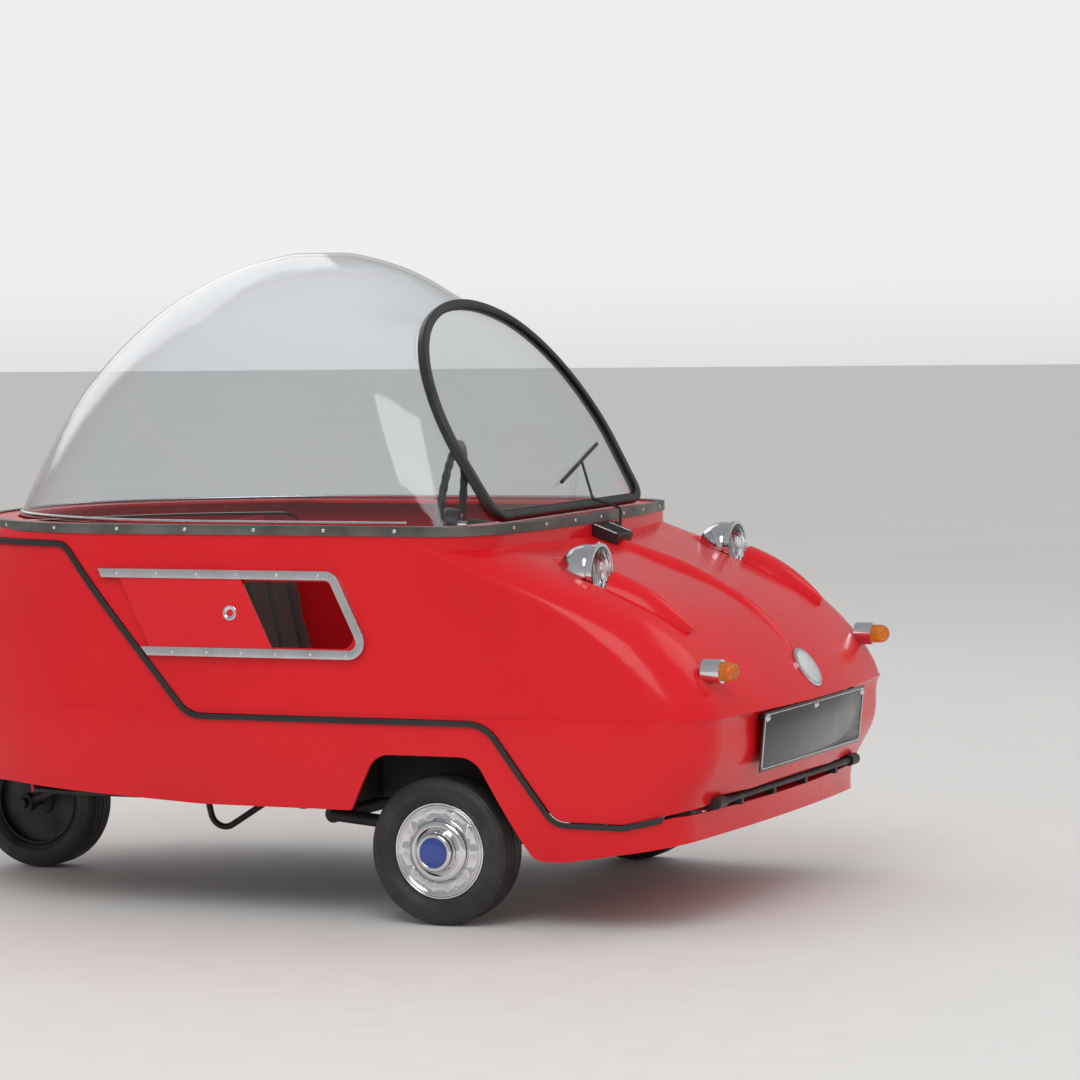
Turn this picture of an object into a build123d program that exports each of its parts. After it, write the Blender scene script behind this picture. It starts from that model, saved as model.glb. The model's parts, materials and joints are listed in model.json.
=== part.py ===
# A three wheeled microcar: a red moulded body whose whole upper half, with its clear dome,
# tilts forward about a rod under the nose, two steered front wheels and one rear wheel.
# Millimetres. X points forward, Y to the car's left, Z up. The origin is on the ground,
# under the middle of the car.
from build123d import *
import math
import os

os.makedirs("parts", exist_ok=True)

# Overall sizes and the running gaps
length = 1829.0
width = 991.0
half_length = length / 2
half_width = width / 2
skin = 6.0                  # moulded body panel
seat_gap = 0.3              # between pieces that rest on each other
seam_gap = 6.0              # open joint between the tilting shell and the tub
turn_gap = 0.5              # round a pin or shaft
across = 1200.0             # wider than the car, for cuts that go right through
clear_of_car = 3000.0       # longer than the car, for regions that only need one true edge

# Plan of the body at each height
side_end_x = -300.0         # the straight side ends here and the tail curve begins
# columns: height, half width, nose, nose bow radius, corner radius, tail, tail end radius
crease_z = 376.0
lower_rows = [
    (112.0, 462.0, 838.0, 3000.0, 100.0, -848.0, 330.0),
    (165.0, 478.0, 848.0, 3000.0, 100.0, -874.0, 340.0),
    (215.0, 486.0, 853.0, 3200.0, 100.0, -891.0, 345.0),
    (262.0, 489.0, 874.0, 4000.0, 102.0, -902.0, 348.0),
    (310.0, 490.0, 888.0, 5000.0, 104.0, -909.0, 350.0),
    (crease_z, 488.5, 897.0, 5500.0, 105.0, -913.5, 350.0),
]
# the upper rows stand 1 mm proud at the crease, which draws the body line round the car
upper_rows = [
    (crease_z, 489.5, half_length, 2300.0, 106.0, -half_length, 351.0),
    (430.0, 486.0, 884.0, 2800.0, 112.0, -half_length, 350.0),
    (504.0, 481.0, 822.0, 3000.0, 130.0, -909.0, 350.0),
    (563.0, 476.0, 741.0, 3500.0, 145.0, -896.0, 345.0),
    (602.0, 471.0, 657.0, 4000.0, 150.0, -879.0, 345.0),
    (640.0, 465.0, 552.0, 4000.0, 150.0, -852.0, 340.0),
    (684.0, 457.0, 425.0, 4000.0, 130.0, -800.0, 335.0),
    (702.0, 451.0, 371.0, 4000.0, 125.0, -757.0, 331.0),
]

# Cockpit rim
rim_top = 703.0
rim_low = 600.0
crease_fill = 8.0           # extra wall behind the step of the crease at the nose
nose_fill_x = 640.0
nose_fill_low = 300.0
nose_fill_high = 430.0
scuttle_line = [(470.0, 658.0), (620.0, 606.0)]     # inside of the slope ahead of the rim
rim_row = (457.0, 482.0, 2445.0, 110.0, -758.0, 335.0)
rim_skin = 7.0              # wall of the rim, a little thicker than the body panel
opening_row = (396.0, 398.0, 2445.0, 80.0, -700.0, 300.0)
rim_strip_height = 18.0
rim_strip_thick = 3.0
rim_strip_lip = 14.0

# Centre ridge and lamp fairings on the bonnet
# columns: x, z of the rounded ridge's middle line, radius of its bend there
ridge_middle = [(420.0, 655.5, 0.0), (637.0, 588.6, 430.0), (795.0, 505.0, 260.0),
                (837.4, 436.7, 0.0)]
ridge_radius = 34.0
lamp_y = 327.0
lamp_z = 622.0
lamp_front_x = 612.0
fairing_length = 330.0
fairing_radius = 50.0
fairing_tip = 8.0
fairing_centre = (640.0, 575.0)
fairing_slope = 20.0

# Seam between the tilting shell and the tub, seen from the side: x, z, corner radius
seam_line = [(-392.0, 672.0, 45.0), (-120.0, 366.0, 60.0), (470.0, 366.0, 70.0),
             (598.0, 193.0, 40.0), (725.0, 192.0, 60.0), (838.0, 216.0, 12.0)]
seam_front = (905.0, 262.0)
strip_width = 10.0
strip_stand = 5.4

band_top = 206.0
band_rear_x = 780.0

# Wheels
tyre_radius = 133.0
tyre_width = 90.0
rim_radius = 86.0
hub_radius = 30.0
axle_radius = 10.0
front_axle_x = 364.0
rear_axle_x = -720.0
wheel_track = 868.0
wheel_y = wheel_track / 2
wheel_z = tyre_radius

# Steering and front suspension
kingpin_y = 352.0
kingpin_radius = 8.0
kingpin_housing_radius = 14.0
kingpin_housing_half = 32.0
yoke_plate_y = 374.0
yoke_plate = 8.0
ear_thick = 9.0
steer_arm_reach = 60.0
track_rod_radius = 6.0
steering_wheel_radius = 150.0
steering_rim_radius = 8.0
steering_centre = (245.0, -150.0, 690.0)
column_yaw = 17.0
column_drop = 8.0
column_radius = 11.0
column_tube = 17.0
column_length = 150.0
pillar_radius = 15.0

# Front hinge of the tilting shell
hinge_x = 846.0
hinge_z = 221.0
hinge_rod_radius = 6.0
knuckle_y = 338.0

# Windscreen: a flat pane raked back from its foot
screen_foot_x = 432.0
screen_foot_z = 700.0
screen_rake = 30.1
frame_low = 9.0             # from the foot up the slope to the moulding's lower edge
screen_half_low = 338.0
screen_half_wide = 352.0
screen_wide_up = 147.0
screen_tall = 454.0
screen_top_radius = 447.6
screen_corner = 45.0
moulding = 17.0
moulding_thick = 18.0
pane_thick = 5.0

# Dome
dome_thick = 4.5
dome_middle_x = -90.0
dome_hollow_z = 600.0       # the hollow is the outside shrunk toward this height
# columns: height, half width, tail, nose, nose bow, corner radius, half width at the windscreen
dome_rows = [
    (rim_top + seat_gap, 425.0, -706.0, 0.0, 2000.0, 200.0, 336.0),
    (760.0, 418.0, -678.5, 0.0, 2000.0, 208.0, 344.5),
    (820.0, 407.0, -645.5, 0.0, 1900.0, 211.0, 347.0),
    (880.0, 390.0, -608.5, 0.0, 1600.0, 212.0, 338.0),
    (940.0, 365.0, -564.0, 0.0, 1300.0, 206.0, 319.0),
    (1000.0, 332.0, -509.0, 0.0, 1000.0, 190.0, 286.0),
    (1050.0, 293.0, -453.0, 0.0, 650.0, 173.0, 222.0),
    (1101.0, 240.0, -384.0, 181.0, 300.0, 144.0, 0.0),
    (1140.0, 185.0, -313.0, 120.0, 231.0, 111.0, 0.0),
    (1170.0, 128.0, -237.0, 57.0, 160.0, 77.0, 0.0),
    (1187.0, 75.0, -170.0, 0.0, 94.0, 45.0, 0.0),
    (1194.0, 30.0, -124.0, -56.0, 36.0, 18.0, 0.0),
]

# Side windows, in the plane of the body side
window_z = 548.0
window_y = 478.0
window_lean = 5.9
channel = 16.0
channel_deep = 9.0
channel_wall = 2.0
window_outline = [(-309.0, 78.0), (172.0, 78.0), (256.0, -78.0), (-234.0, -78.0)]
window_corner = 30.0
hatch_length = 250.0
hatch_front_x = 18.0
hatch_thick = 4.0
hatch_play = 0.5

# Cabin
floor_z = 209.0
floor_thick = 6.0
bulkhead_x = -470.0
deck_z = 560.0
well_half_y = 326.0
well_rear_x = 186.0
well_front_x = 545.0
well_top = 312.0
floor_step_x = 560.0        # ahead of this the floor keeps clear of the tilting shell
toe_x = 590.0

# Lamps, plate and small fittings of the upper shell
lamp_radius = 46.0
lamp_depth = 67.0
lamp_shoulder = 0.74
lamp_flat = 6.0
lamp_wall = 2.0
lamp_band = 14.0
lamp_band_proud = 3.5
lamp_bulge = 15.0
pocket_radius = 53.0
pocket_behind = 6.0
pocket_ahead = 39.0
indicator_place = (876.0, 388.0, 456.0)
indicator_root = 34.0
indicator_radius = 21.0
indicator_reach = 14.0
indicator_lens_radius = 17.0
nose_lamp_x = 880.0
nose_lamp_z = 423.5
nose_lamp_tilt = 33.0
nose_lamp_radius = 40.0
nose_lamp_proud = 12.0
nose_lamp_rim = 6.0
nose_lamp_bevel = 2.0
nose_lamp_floor = 10.5
nose_lamp_bulge = 6.0
plate_width = 515.0
plate_height = 106.0
plate_thick = 2.5
plate_lean = 6.0
plate_top_x = 903.0
plate_top_z = 371.0
plate_stud_y = (-243.0, 0.0, 243.0)
plate_stud_down = 10.0
plate_stud_long = 40.0
plate_stud_radius = 5.0
vent_place = (500.0, 0.0, 664.0)
vent_long = 62.0
vent_wide = 72.0
vent_tall = 30.0
vent_slope = 20.0
vent_slots = 6
vent_pitch = 10.0
vent_edge = 6.0
wiper_foot = [(482.3, 46.0, 681.0), (504.0, 46.0, 681.0), (504.0, 46.0, 712.0),
              (446.0, 52.0, 728.0)]
wiper_bend = 6.0
# columns: distance across, distance up the pane, for the two ends of the blade
wiper_blade = [(3.0, 67.0), (249.0, 136.0)]
wiper_hold = 0.56           # share of the blade's length where the arm takes it
wiper_lift = 7.5            # from the pane's middle to the blade's middle
wiper_boss_radius = 6.0
wiper_arm_radius = 2.5
wiper_blade_radius = 3.5
pane_bite = 6.0
dome_tail_share = 0.72
opening_margin = 3.0
opening_corner = 22.0
hatch_lap = 25.0
hatch_bite = 6.0
strip_below = 8.0
seam_front_radius = 12.0
knuckle_half = 18.0
knuckle_radius = 11.0
strap_top = 300.0
strap_reach = 26.0
strap_foot = 5.0            # the strap's foot passes under the shell's edge to the tube
strap_edge = 3.0
lug_places = (-240.0, -80.0, 80.0, 240.0)
lug_half = 5.0
lug_deep = 12.0

# Lower edge of the tub from tail to nose: x, z, corner radius
tub_edge = [(-522.0, 227.0, 200.0), (-103.0, 203.0, 200.0), (201.0, 202.0, 8.0),
            (252.0, 304.0, 45.0), (446.0, 304.0, 50.0), (549.0, 122.0, 30.0),
            (605.0, 122.0, 100.0), (870.0, 166.0, 20.0)]

# Cabin details
well_wall = 5.0
well_clear = 8.0
toe_run = 60.0
tray_half = 300.0
tray_clear = 5.0
toe_top = 330.0
seat_half = 372.0
seat_front_x = -40.0
seat_rear_x = -318.0
seat_top_x = -418.0
seat_top_z = 672.0
pan_rise = 26.0
pad_half = 366.0
cushion_thick = 62.0
cushion_round = 14.0
back_thick = 52.0
back_below_top = 6.0
pedal_x = 520.0
pedal_y = (-205.0, -140.0, -75.0)
pedal_foot = 12.0
pedal_tall = 110.0
pedal_lean = 45.0
pedal_arm = 5.0
pedal_face_tilt = 25.0
pedal_pad_thick = 7.0
pedal_pad_wide = 44.0
pedal_pad_tall = 58.0
lever_x = 60.0
lever_y = 20.0
lever_foot = 22.0
lever_lean = 40.0
lever_tall = 210.0
lever_radius = 6.0
lever_knob = 19.0

# Chassis tubes, suspension arms, fork, engine and exhaust
tube_radius = 12.5
tube_y = 160.0
tube_rear_x = -650.0
tube_front_x = 585.0
cross_tube_radius = 11.0
cross_tube_x = (-560.0, -300.0, 30.0, 560.0)
hoop_points = [(-273.0, 196.0), (-250.0, 98.0), (-92.0, 196.0)]
hoop_radius = 6.0
hoop_bend = 30.0
arm_pivot_x = 70.0
arm_y = 300.0
arm_tube_radius = 16.0
arm_radius = 12.0
arm_knee_x = 290.0
arm_knee_up = 14.0
arm_bend = 30.0
ear_half = 14.0
stub_past = 32.0
back_plate = 8.0
back_plate_radius = 60.0
arm_half = 10.0
rod_eye_radius = 11.0
rod_eye_thick = 11.0
rack_y = -100.0
rack_half = 70.0
rack_radius = 13.0
rack_play = 1.0
column_behind_hub = 34.0
shaft_length = 128.0
pillar_flange = 30.0
pillar_flange_thick = 5.0
pillar_clear = 2.0
spoke_wide = 26.0
spoke_thick = 6.0
steering_hub_radius = 32.0
steering_hub_long = 34.0
fork_pivot_x = -560.0
fork_y = 66.0
fork_radius = 9.0
fork_cheek = 2.0            # the eyes and sleeve stand this much wider than the arms
fork_sleeve = 4.5
fork_eye = 18.0
axle_nut = 14.0
engine_x = (-668.0, -492.0)
engine_y = (92.0, 262.0)
engine_top = 405.0
exhaust_inset = 30.0
exhaust_y = 214.0
exhaust_bend = 22.0
exhaust_z = 158.0
exhaust_pipe = 11.0
exhaust_end_x = -830.0
silencer_x = (-760.0, -560.0)
silencer_radius = 32.0

# Wheel sections
rim_width = 62.0
rim_wall = 4.0
disc_out = 12.0
disc_thick = 4.0
hub_out = 22.0
hub_in = 24.0
bead_in = 14.0
bead_rise = 14.0
shoulder_drop = 9.0
shoulder_in = 14.0
bead_round = 6.0
shoulder_round = 14.0
tread_round = 10.0
# columns: radius, distance out from the wheel's middle plane
hub_cap_steps = [(0.0, 60.0), (27.0, 60.0), (34.0, 51.0), (48.0, 42.0), (56.0, 30.0),
                 (72.0, 30.0), (81.7, 32.0)]
cap_thick = 1.5

# Rear lamps on the tail
rear_lamp_spread = 38.0
rear_lamp_z = 440.0
rear_lamp_radius = 32.0
rear_lamp_root = 16.0
rear_lamp_proud = 6.0
rear_lens_radius = 26.0


def chain_outline(half, nose, bow, corner, tail, tail_end, side_end=side_end_x):
    """Closed plan outline in the XY plane: nose bow, corners, straight sides, tail curve."""
    bow_x = nose - bow
    corner_x = bow_x + math.sqrt((bow - corner) ** 2 - (half - corner) ** 2)
    corner_y = half - corner
    lean = math.atan2(corner_y, corner_x - bow_x)
    join_x = bow_x + bow * math.cos(lean)
    join_y = bow * math.sin(lean)
    turn = (lean + math.pi / 2) / 2
    mid_x = corner_x + corner * math.cos(turn)
    mid_y = corner_y + corner * math.sin(turn)
    reach = side_end - tail
    side_arc = ((reach - tail_end) ** 2 + half ** 2 - tail_end ** 2) / (2 * (half - tail_end))
    centre = Vector(side_end, half - side_arc)
    end_centre = Vector(tail + tail_end, 0)
    to_end = (end_centre - centre).normalized()
    tail_join = centre + to_end * side_arc
    if side_arc < tail_end:
        tail_join = centre - to_end * side_arc
    half_way = (math.atan2(tail_join.Y - centre.Y, tail_join.X - centre.X) + math.pi / 2) / 2
    side_mid = centre + Vector(math.cos(half_way), math.sin(half_way)) * side_arc
    left = [(corner_x, half), (side_end, half), (side_mid.X, side_mid.Y),
            (tail_join.X, tail_join.Y)]
    edges = [
        ThreePointArc((join_x, -join_y), (nose, 0), (join_x, join_y)),
        ThreePointArc((join_x, join_y), (mid_x, mid_y), left[0]),
        Line(left[0], left[1]),
        ThreePointArc(left[1], left[2], left[3]),
        ThreePointArc(left[3], (tail, 0), (left[3][0], -left[3][1])),
        ThreePointArc((left[3][0], -left[3][1]), (left[2][0], -left[2][1]), (side_end, -half)),
        Line((side_end, -half), (corner_x, -half)),
        ThreePointArc((corner_x, -half), (mid_x, -mid_y), (join_x, -join_y)),
    ]
    return Wire(edges)


def inset_rows(rows, depth):
    """The same rows moved inward by a depth measured square to the surface."""
    moved = []
    for number, row in enumerate(rows):
        below = rows[max(number - 1, 0)]
        above = rows[min(number + 1, len(rows) - 1)]
        rise = above[0] - below[0]
        nose_in = depth * math.hypot(1, (above[2] - below[2]) / rise)
        tail_in = depth * math.hypot(1, (above[5] - below[5]) / rise)
        if row[0] == crease_z:
            tail_in = depth
        moved.append((row[0], row[1] - depth, row[2] - nose_in, row[3], row[4] - depth,
                      row[5] + tail_in, row[6] - depth))
    return moved


def stack(rows):
    """Smooth solid through plan outlines stacked by height."""
    wires = [Pos(0, 0, row[0]) * chain_outline(*row[1:]) for row in rows]
    return Solid.make_loft(wires)


def hollow(depth):
    """The body's inside: one smooth form past the crease, held back behind it at the nose."""
    form = stack(inset_rows(lower_rows, depth) + inset_rows(upper_rows, depth)[1:-1])
    ahead = block(nose_fill_x, half_length + across, -across, across, nose_fill_low,
                  nose_fill_high)
    crease_row = lower_rows[-1][1:]
    kept = plan_block(crease_row, nose_fill_low, nose_fill_high, -depth - crease_fill)
    above = side_region([*scuttle_line, (scuttle_line[1][0], rim_top),
                         (scuttle_line[0][0], rim_top)], [0.0, 0.0, 0.0, 0.0])
    return form - (ahead - kept) - above


def plan_block(row, low, high, grow=0.0):
    """Upright solid of one plan outline, grown outward by a given depth."""
    half, nose, bow, corner, tail, tail_end = row
    wire = chain_outline(half + grow, nose + grow, bow, corner + grow, tail - grow,
                         tail_end + grow)
    return extrude(Pos(0, 0, low) * Face(wire), high - low)


def side_region(points, radii, y_low=-across, y_high=across):
    """Solid of an outline seen from the side, between two places across the car."""
    if max(radii) > 0:
        line = FilletPolyline(*points, radius=radii, close=True)
    else:
        line = Polyline(*points, close=True)
    face = Plane.XZ * Face(Wire(line.edges()))
    return Pos(0, y_high, 0) * extrude(face, y_high - y_low, dir=(0, -1, 0))


def raised(face, low, high):
    """Solid of a face in the XY plane between two heights."""
    return Pos(0, 0, low) * extrude(face, high - low, dir=(0, 0, 1))


def block(x_low, x_high, y_low, y_high, z_low, z_high):
    """Box between its lowest and highest corners."""
    size = (x_high - x_low, y_high - y_low, z_high - z_low)
    return Pos(x_low, y_low, z_low) * Box(*size, align=(Align.MIN,) * 3)


def rod(start, end, radius):
    """Round bar between two points."""
    a, b = Vector(*start), Vector(*end)
    return Plane(origin=a, z_dir=b - a) * Cylinder(radius, (b - a).length,
                                                   align=(Align.CENTER, Align.CENTER, Align.MIN))


def bent_bar(points, bends, radius):
    """Round bar along a path of straight runs with a bend radius at each inner point."""
    path = Wire(FilletPolyline(*points, radius=bends).edges())
    return sweep(Plane(path @ 0, z_dir=path % 0) * Circle(radius), path)


def cap_arc(foot_x, edge, bulge):
    """Arc of a ball from its edge to its tip on the X axis."""
    ball = (edge ** 2 + bulge ** 2) / (2 * bulge)
    centre = foot_x + bulge - ball
    half_turn = math.asin(edge / ball) / 2
    middle = (centre + ball * math.cos(half_turn), ball * math.sin(half_turn))
    return ThreePointArc((foot_x, edge), middle, (foot_x + bulge, 0))


def both_sides(solid):
    """A solid and its mirror image across the car."""
    return [solid, mirror(solid, Plane.XZ)]


def write(name, *solids):
    """Write a node's solids to their STEP file."""
    pieces = []
    for item in solids:
        pieces += list(item.solids())
    export_step(Compound(children=pieces), "parts/" + name + ".step")


def seam_region(offset_by):
    """Everything above the seam, grown downward and backward by an offset."""
    corners = [(-clear_of_car, seam_line[0][1])] + [point[:2] for point in seam_line]
    corners += [seam_front, (clear_of_car, seam_front[1]), (clear_of_car, clear_of_car),
                (-clear_of_car, clear_of_car)]
    radii = [0.0] + [point[2] for point in seam_line] + [seam_front_radius, 0.0, 0.0, 0.0]
    face = Face(Wire(FilletPolyline(*corners, radius=radii, close=True).edges()))
    face = offset(face, offset_by)
    return Pos(0, across, 0) * extrude(Plane.XZ * face, 2 * across, dir=(0, -1, 0))


def turned(profile, place):
    """Solid of revolution about the X axis, moved to its place."""
    return Pos(*place) * revolve(profile, Axis.X)


def wheel_turned(profile, place):
    """Solid of revolution about an axle along Y, from a profile in the XY plane."""
    return Pos(*place) * revolve(profile, Axis.Y)


def bonnet_ridge(grow=0.0):
    """Rounded rib down the middle of the bonnet."""
    points = [(x, 0, z) for x, z, _ in ridge_middle]
    bends = [radius for _, _, radius in ridge_middle[1:-1]]
    return bent_bar(points, bends, ridge_radius + grow)


def lamp_fairing():
    """Spindle shaped fairing that carries a headlamp, for the car's centre line."""
    half = fairing_length / 2
    arc = ThreePointArc((-half, fairing_tip), (0, fairing_radius), (half, fairing_tip))
    ends = Polyline(arc @ 1, (half, 0), (-half, 0), arc @ 0)
    spindle = revolve(Face(Wire([arc] + list(ends.edges()))), Axis.X)
    return Pos(fairing_centre[0], 0, fairing_centre[1]) * Rot(0, fairing_slope, 0) * spindle


def lamp_bowl_profile(grow):
    """Half section of the lamp bowl, from its closed rear end to its rim."""
    rear = -lamp_depth - grow
    radius = lamp_radius + grow
    arc = ThreePointArc((rear, lamp_flat), (rear * lamp_shoulder, radius * lamp_shoulder),
                        (0, radius))
    ends = Polyline((0, radius), (0, 0), (rear, 0), (rear, lamp_flat))
    return Face(Wire([arc] + list(ends.edges())))


# The moulded body: outer and inner forms, then its two halves
outer = stack(lower_rows) + stack(upper_rows) + plan_block(rim_row, rim_low, rim_top)
inner = hollow(skin) + plan_block(rim_row, rim_low, rim_top - skin, -rim_skin)
body_skin = outer - inner
seat_rows = [inset_rows(rows, -seat_gap) for rows in (lower_rows, upper_rows)]
seat_form = stack(seat_rows[0]) + stack(seat_rows[1]) + bonnet_ridge(seat_gap)
seat_form += plan_block(rim_row, rim_low, rim_top, seat_gap)

lamp_places = [(lamp_front_x, side * lamp_y, lamp_z) for side in (-1, 1)]
trims = bonnet_ridge()
for place in lamp_places:
    trims += Pos(0, place[1], 0) * lamp_fairing()
dressed = outer + trims

shell = dressed - inner - plan_block(opening_row, rim_low, rim_top + skin)
shell = shell & seam_region(-seam_gap / 2)
strip_low = rim_top + rim_strip_thick - rim_strip_height
rebate = plan_block(rim_row, strip_low - seat_gap, rim_top + skin, rim_strip_thick + 2 * seat_gap)
shell -= rebate - plan_block(rim_row, strip_low - skin, rim_top + skin)
pocket_front = lamp_front_x + pocket_ahead
for x, y, z in lamp_places:
    liner = rod((x - pocket_behind - skin, y, z), (pocket_front + skin, y, z), pocket_radius + skin)
    pocket = rod((x - pocket_behind, y, z), (pocket_front, y, z), pocket_radius)
    shell = shell + (liner & dressed) - pocket
    shell = shell - turned(lamp_bowl_profile(turn_gap), (x, y, z))
shell -= rod((hinge_x, -knuckle_y - knuckle_half - turn_gap, hinge_z),
             (hinge_x, knuckle_y + knuckle_half + turn_gap, hinge_z),
             knuckle_radius + seat_gap)

window_plane = Plane(origin=(0, -window_y, window_z), x_dir=(1, 0, 0),
                     z_dir=(0, -math.cos(math.radians(window_lean)),
                            math.sin(math.radians(window_lean))))
leg_slope = (window_outline[2][0] - window_outline[1][0]) / (window_outline[1][1]
                                                             - window_outline[2][1])
window_face = Face(Wire(FilletPolyline(*window_outline, close=True,
                                       radius=[0.0, window_corner, window_corner, 0.0]).edges()))
half_tall = window_outline[0][1]
leg_inner_x = (window_outline[1][0] + window_outline[2][0]) / 2
leg_inner_x -= channel * math.hypot(1, leg_slope)


def slanted(front, rear, half_height, corner=0.0):
    """Panel with both ends parallel to the window's front leg, given at mid height."""
    lean = half_height * leg_slope
    points = [(rear - lean, half_height), (front - lean, half_height),
              (front + lean, -half_height), (rear + lean, -half_height)]
    if corner:
        return Face(Wire(FilletPolyline(*points, radius=corner, close=True).edges()))
    return make_face(Polyline(*points, close=True))


opening_face = slanted(leg_inner_x - opening_margin, hatch_front_x - hatch_lap,
                       half_tall - channel - opening_margin, opening_corner)
for solid in both_sides(window_plane * raised(opening_face, -channel, channel)):
    shell -= solid

# Lower tub: sides, tail and the band round the front
tub = body_skin - seam_region(seam_gap / 2) - plan_block(opening_row, rim_low, rim_top + skin)
low_corners = [point[:2] for point in tub_edge]
low_radii = [point[2] for point in tub_edge]
below_edge = [(-clear_of_car, low_corners[0][1])] + low_corners
below_edge += [(clear_of_car, low_corners[-1][1]), (clear_of_car, -clear_of_car),
               (-clear_of_car, -clear_of_car)]
tub -= side_region(below_edge, [0.0] + low_radii + [0.0, 0.0, 0.0])
tub -= block(band_rear_x, half_length + skin, -across, across, band_top, rim_top)
tray = block(tube_front_x + tray_clear, half_length, -tray_half, tray_half,
             band_top - floor_thick, band_top)
tub += tray & outer

# Rubber strip along the seam
strip_rows = [inset_rows(rows, -strip_stand) for rows in (lower_rows, upper_rows)]
seam_strip = stack(strip_rows[0]) + stack(strip_rows[1]) - stack(seat_rows[0])
seam_strip -= stack(seat_rows[1])
seam_strip = seam_strip & seam_region(strip_below)
seam_strip = seam_strip - seam_region(strip_below - strip_width)
seam_strip = seam_strip & block(-half_length - channel, band_rear_x + strip_width, -across,
                                across, 0, rim_top)

write("upper_shell", shell)
write("lower_tub", tub)
write("seam_strip", seam_strip)

# Aluminium strip round the cockpit rim
rim_strip = plan_block(rim_row, strip_low, rim_top + rim_strip_thick, rim_strip_thick)
rim_strip -= plan_block(rim_row, strip_low - skin, rim_top + seat_gap, seat_gap)
rim_strip -= plan_block(rim_row, rim_top, rim_top + skin, -rim_strip_lip)
write("rim_strip", rim_strip)

# Windscreen pane in its rubber moulding
rake = math.radians(screen_rake)
screen_plane = Plane(origin=(screen_foot_x, 0, screen_foot_z), x_dir=(0, 1, 0),
                     z_dir=(math.cos(rake), 0, math.sin(rake)))


def screen_face():
    """Outline of the windscreen moulding: flat foot, leaning sides, round top."""
    rise = screen_wide_up - screen_tall + screen_top_radius
    side = (screen_top_radius ** 2 - screen_half_wide ** 2 - rise ** 2) / (
        2 * (screen_top_radius - screen_half_wide))
    top_centre = Vector(0, screen_tall - screen_top_radius)
    side_centre = Vector(screen_half_wide - side, screen_wide_up)
    join = top_centre + (side_centre - top_centre).normalized() * screen_top_radius
    middle = ((join - side_centre).normalized() + Vector(1, 0)).normalized() * side + side_centre
    wide = (screen_half_wide, screen_wide_up)
    foot = FilletPolyline((-wide[0], wide[1]), (-screen_half_low, 0), (screen_half_low, 0), wide,
                          radius=screen_corner)
    edges = list(foot.edges())
    edges.append(ThreePointArc(wide, (middle.X, middle.Y), (join.X, join.Y)))
    edges.append(ThreePointArc((join.X, join.Y), (0, screen_tall), (-join.X, join.Y)))
    edges.append(ThreePointArc((-join.X, join.Y), (-middle.X, middle.Y), (-wide[0], wide[1])))
    return Pos(0, frame_low) * Face(Wire(edges))


moulding_face = screen_face()
pane = raised(offset(moulding_face, pane_bite - moulding), -pane_thick / 2, pane_thick / 2)
ring = raised(moulding_face - offset(moulding_face, -moulding), -moulding_thick / 2,
              moulding_thick / 2)
write("windscreen_pane", screen_plane * pane)
write("windscreen_moulding", screen_plane * (ring - pane))

# Clear dome, cut off along the back of the windscreen moulding
screen_slope = math.tan(rake)
dome_edge_x = screen_foot_x - (moulding_thick / 2 + seat_gap) / math.cos(rake)


def dome_wire(height, half, tail, nose, bow, corner, edge_half):
    """One level of the dome: it meets the windscreen at the given half width."""
    if edge_half:
        edge_x = dome_edge_x - screen_slope * (height - screen_foot_z)
        side = edge_half - (half - corner)
        corner_x = edge_x - math.sqrt(corner ** 2 - side ** 2)
        nose = corner_x + bow - math.sqrt((bow - corner) ** 2 - (half - corner) ** 2)
    wire = chain_outline(half, nose, bow, corner, tail, dome_tail_share * half, dome_middle_x)
    return Pos(0, 0, height) * wire


dome_levels = [dome_wire(*row) for row in dome_rows]
dome_form = Solid.make_loft(dome_levels)
thinner = 1 - dome_thick / (dome_rows[-1][0] - dome_rows[0][0])
fixed = Vector(dome_middle_x, 0, dome_hollow_z)
dome = dome_form - Pos(*(fixed * (1 - thinner))) * scale(dome_form, by=thinner)
behind_screen = Pos(0, 0, -clear_of_car - moulding_thick / 2 - seat_gap) * Box(
    clear_of_car, clear_of_car, clear_of_car, align=(Align.CENTER, Align.CENTER, Align.MIN))
dome = dome & (screen_plane * behind_screen)
write("dome", dome)

# Side window channels and sliding hatches
window_gap = offset(window_face, -channel)
window_gap = window_gap + Pos(-2 * channel, 0) * window_gap
groove = offset(window_face, -channel_wall)
groove = groove + Pos(-2 * channel, 0) * groove
channel_ring = raised(window_face, -channel_deep, channel_deep)
channel_ring -= raised(window_gap, -channel, channel)
channel_ring -= raised(groove, channel_wall, channel_deep - channel_wall)
channel_ring = (window_plane * channel_ring) - stack(seat_rows[1])
channel_ring = channel_ring & seam_region(strip_width - strip_below - seam_gap - strip_stand)
hatch_rise = half_tall - channel + hatch_bite
hatch_face = slanted(hatch_front_x, hatch_front_x - hatch_length, hatch_rise)
hatch_low = channel_wall + hatch_play
hatch = window_plane * raised(hatch_face, hatch_low, hatch_low + hatch_thick)
write("window_channels", *both_sides(channel_ring))
for name, solid in zip(("right", "left"), both_sides(hatch)):
    write("window_hatch_" + name, solid)

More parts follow.
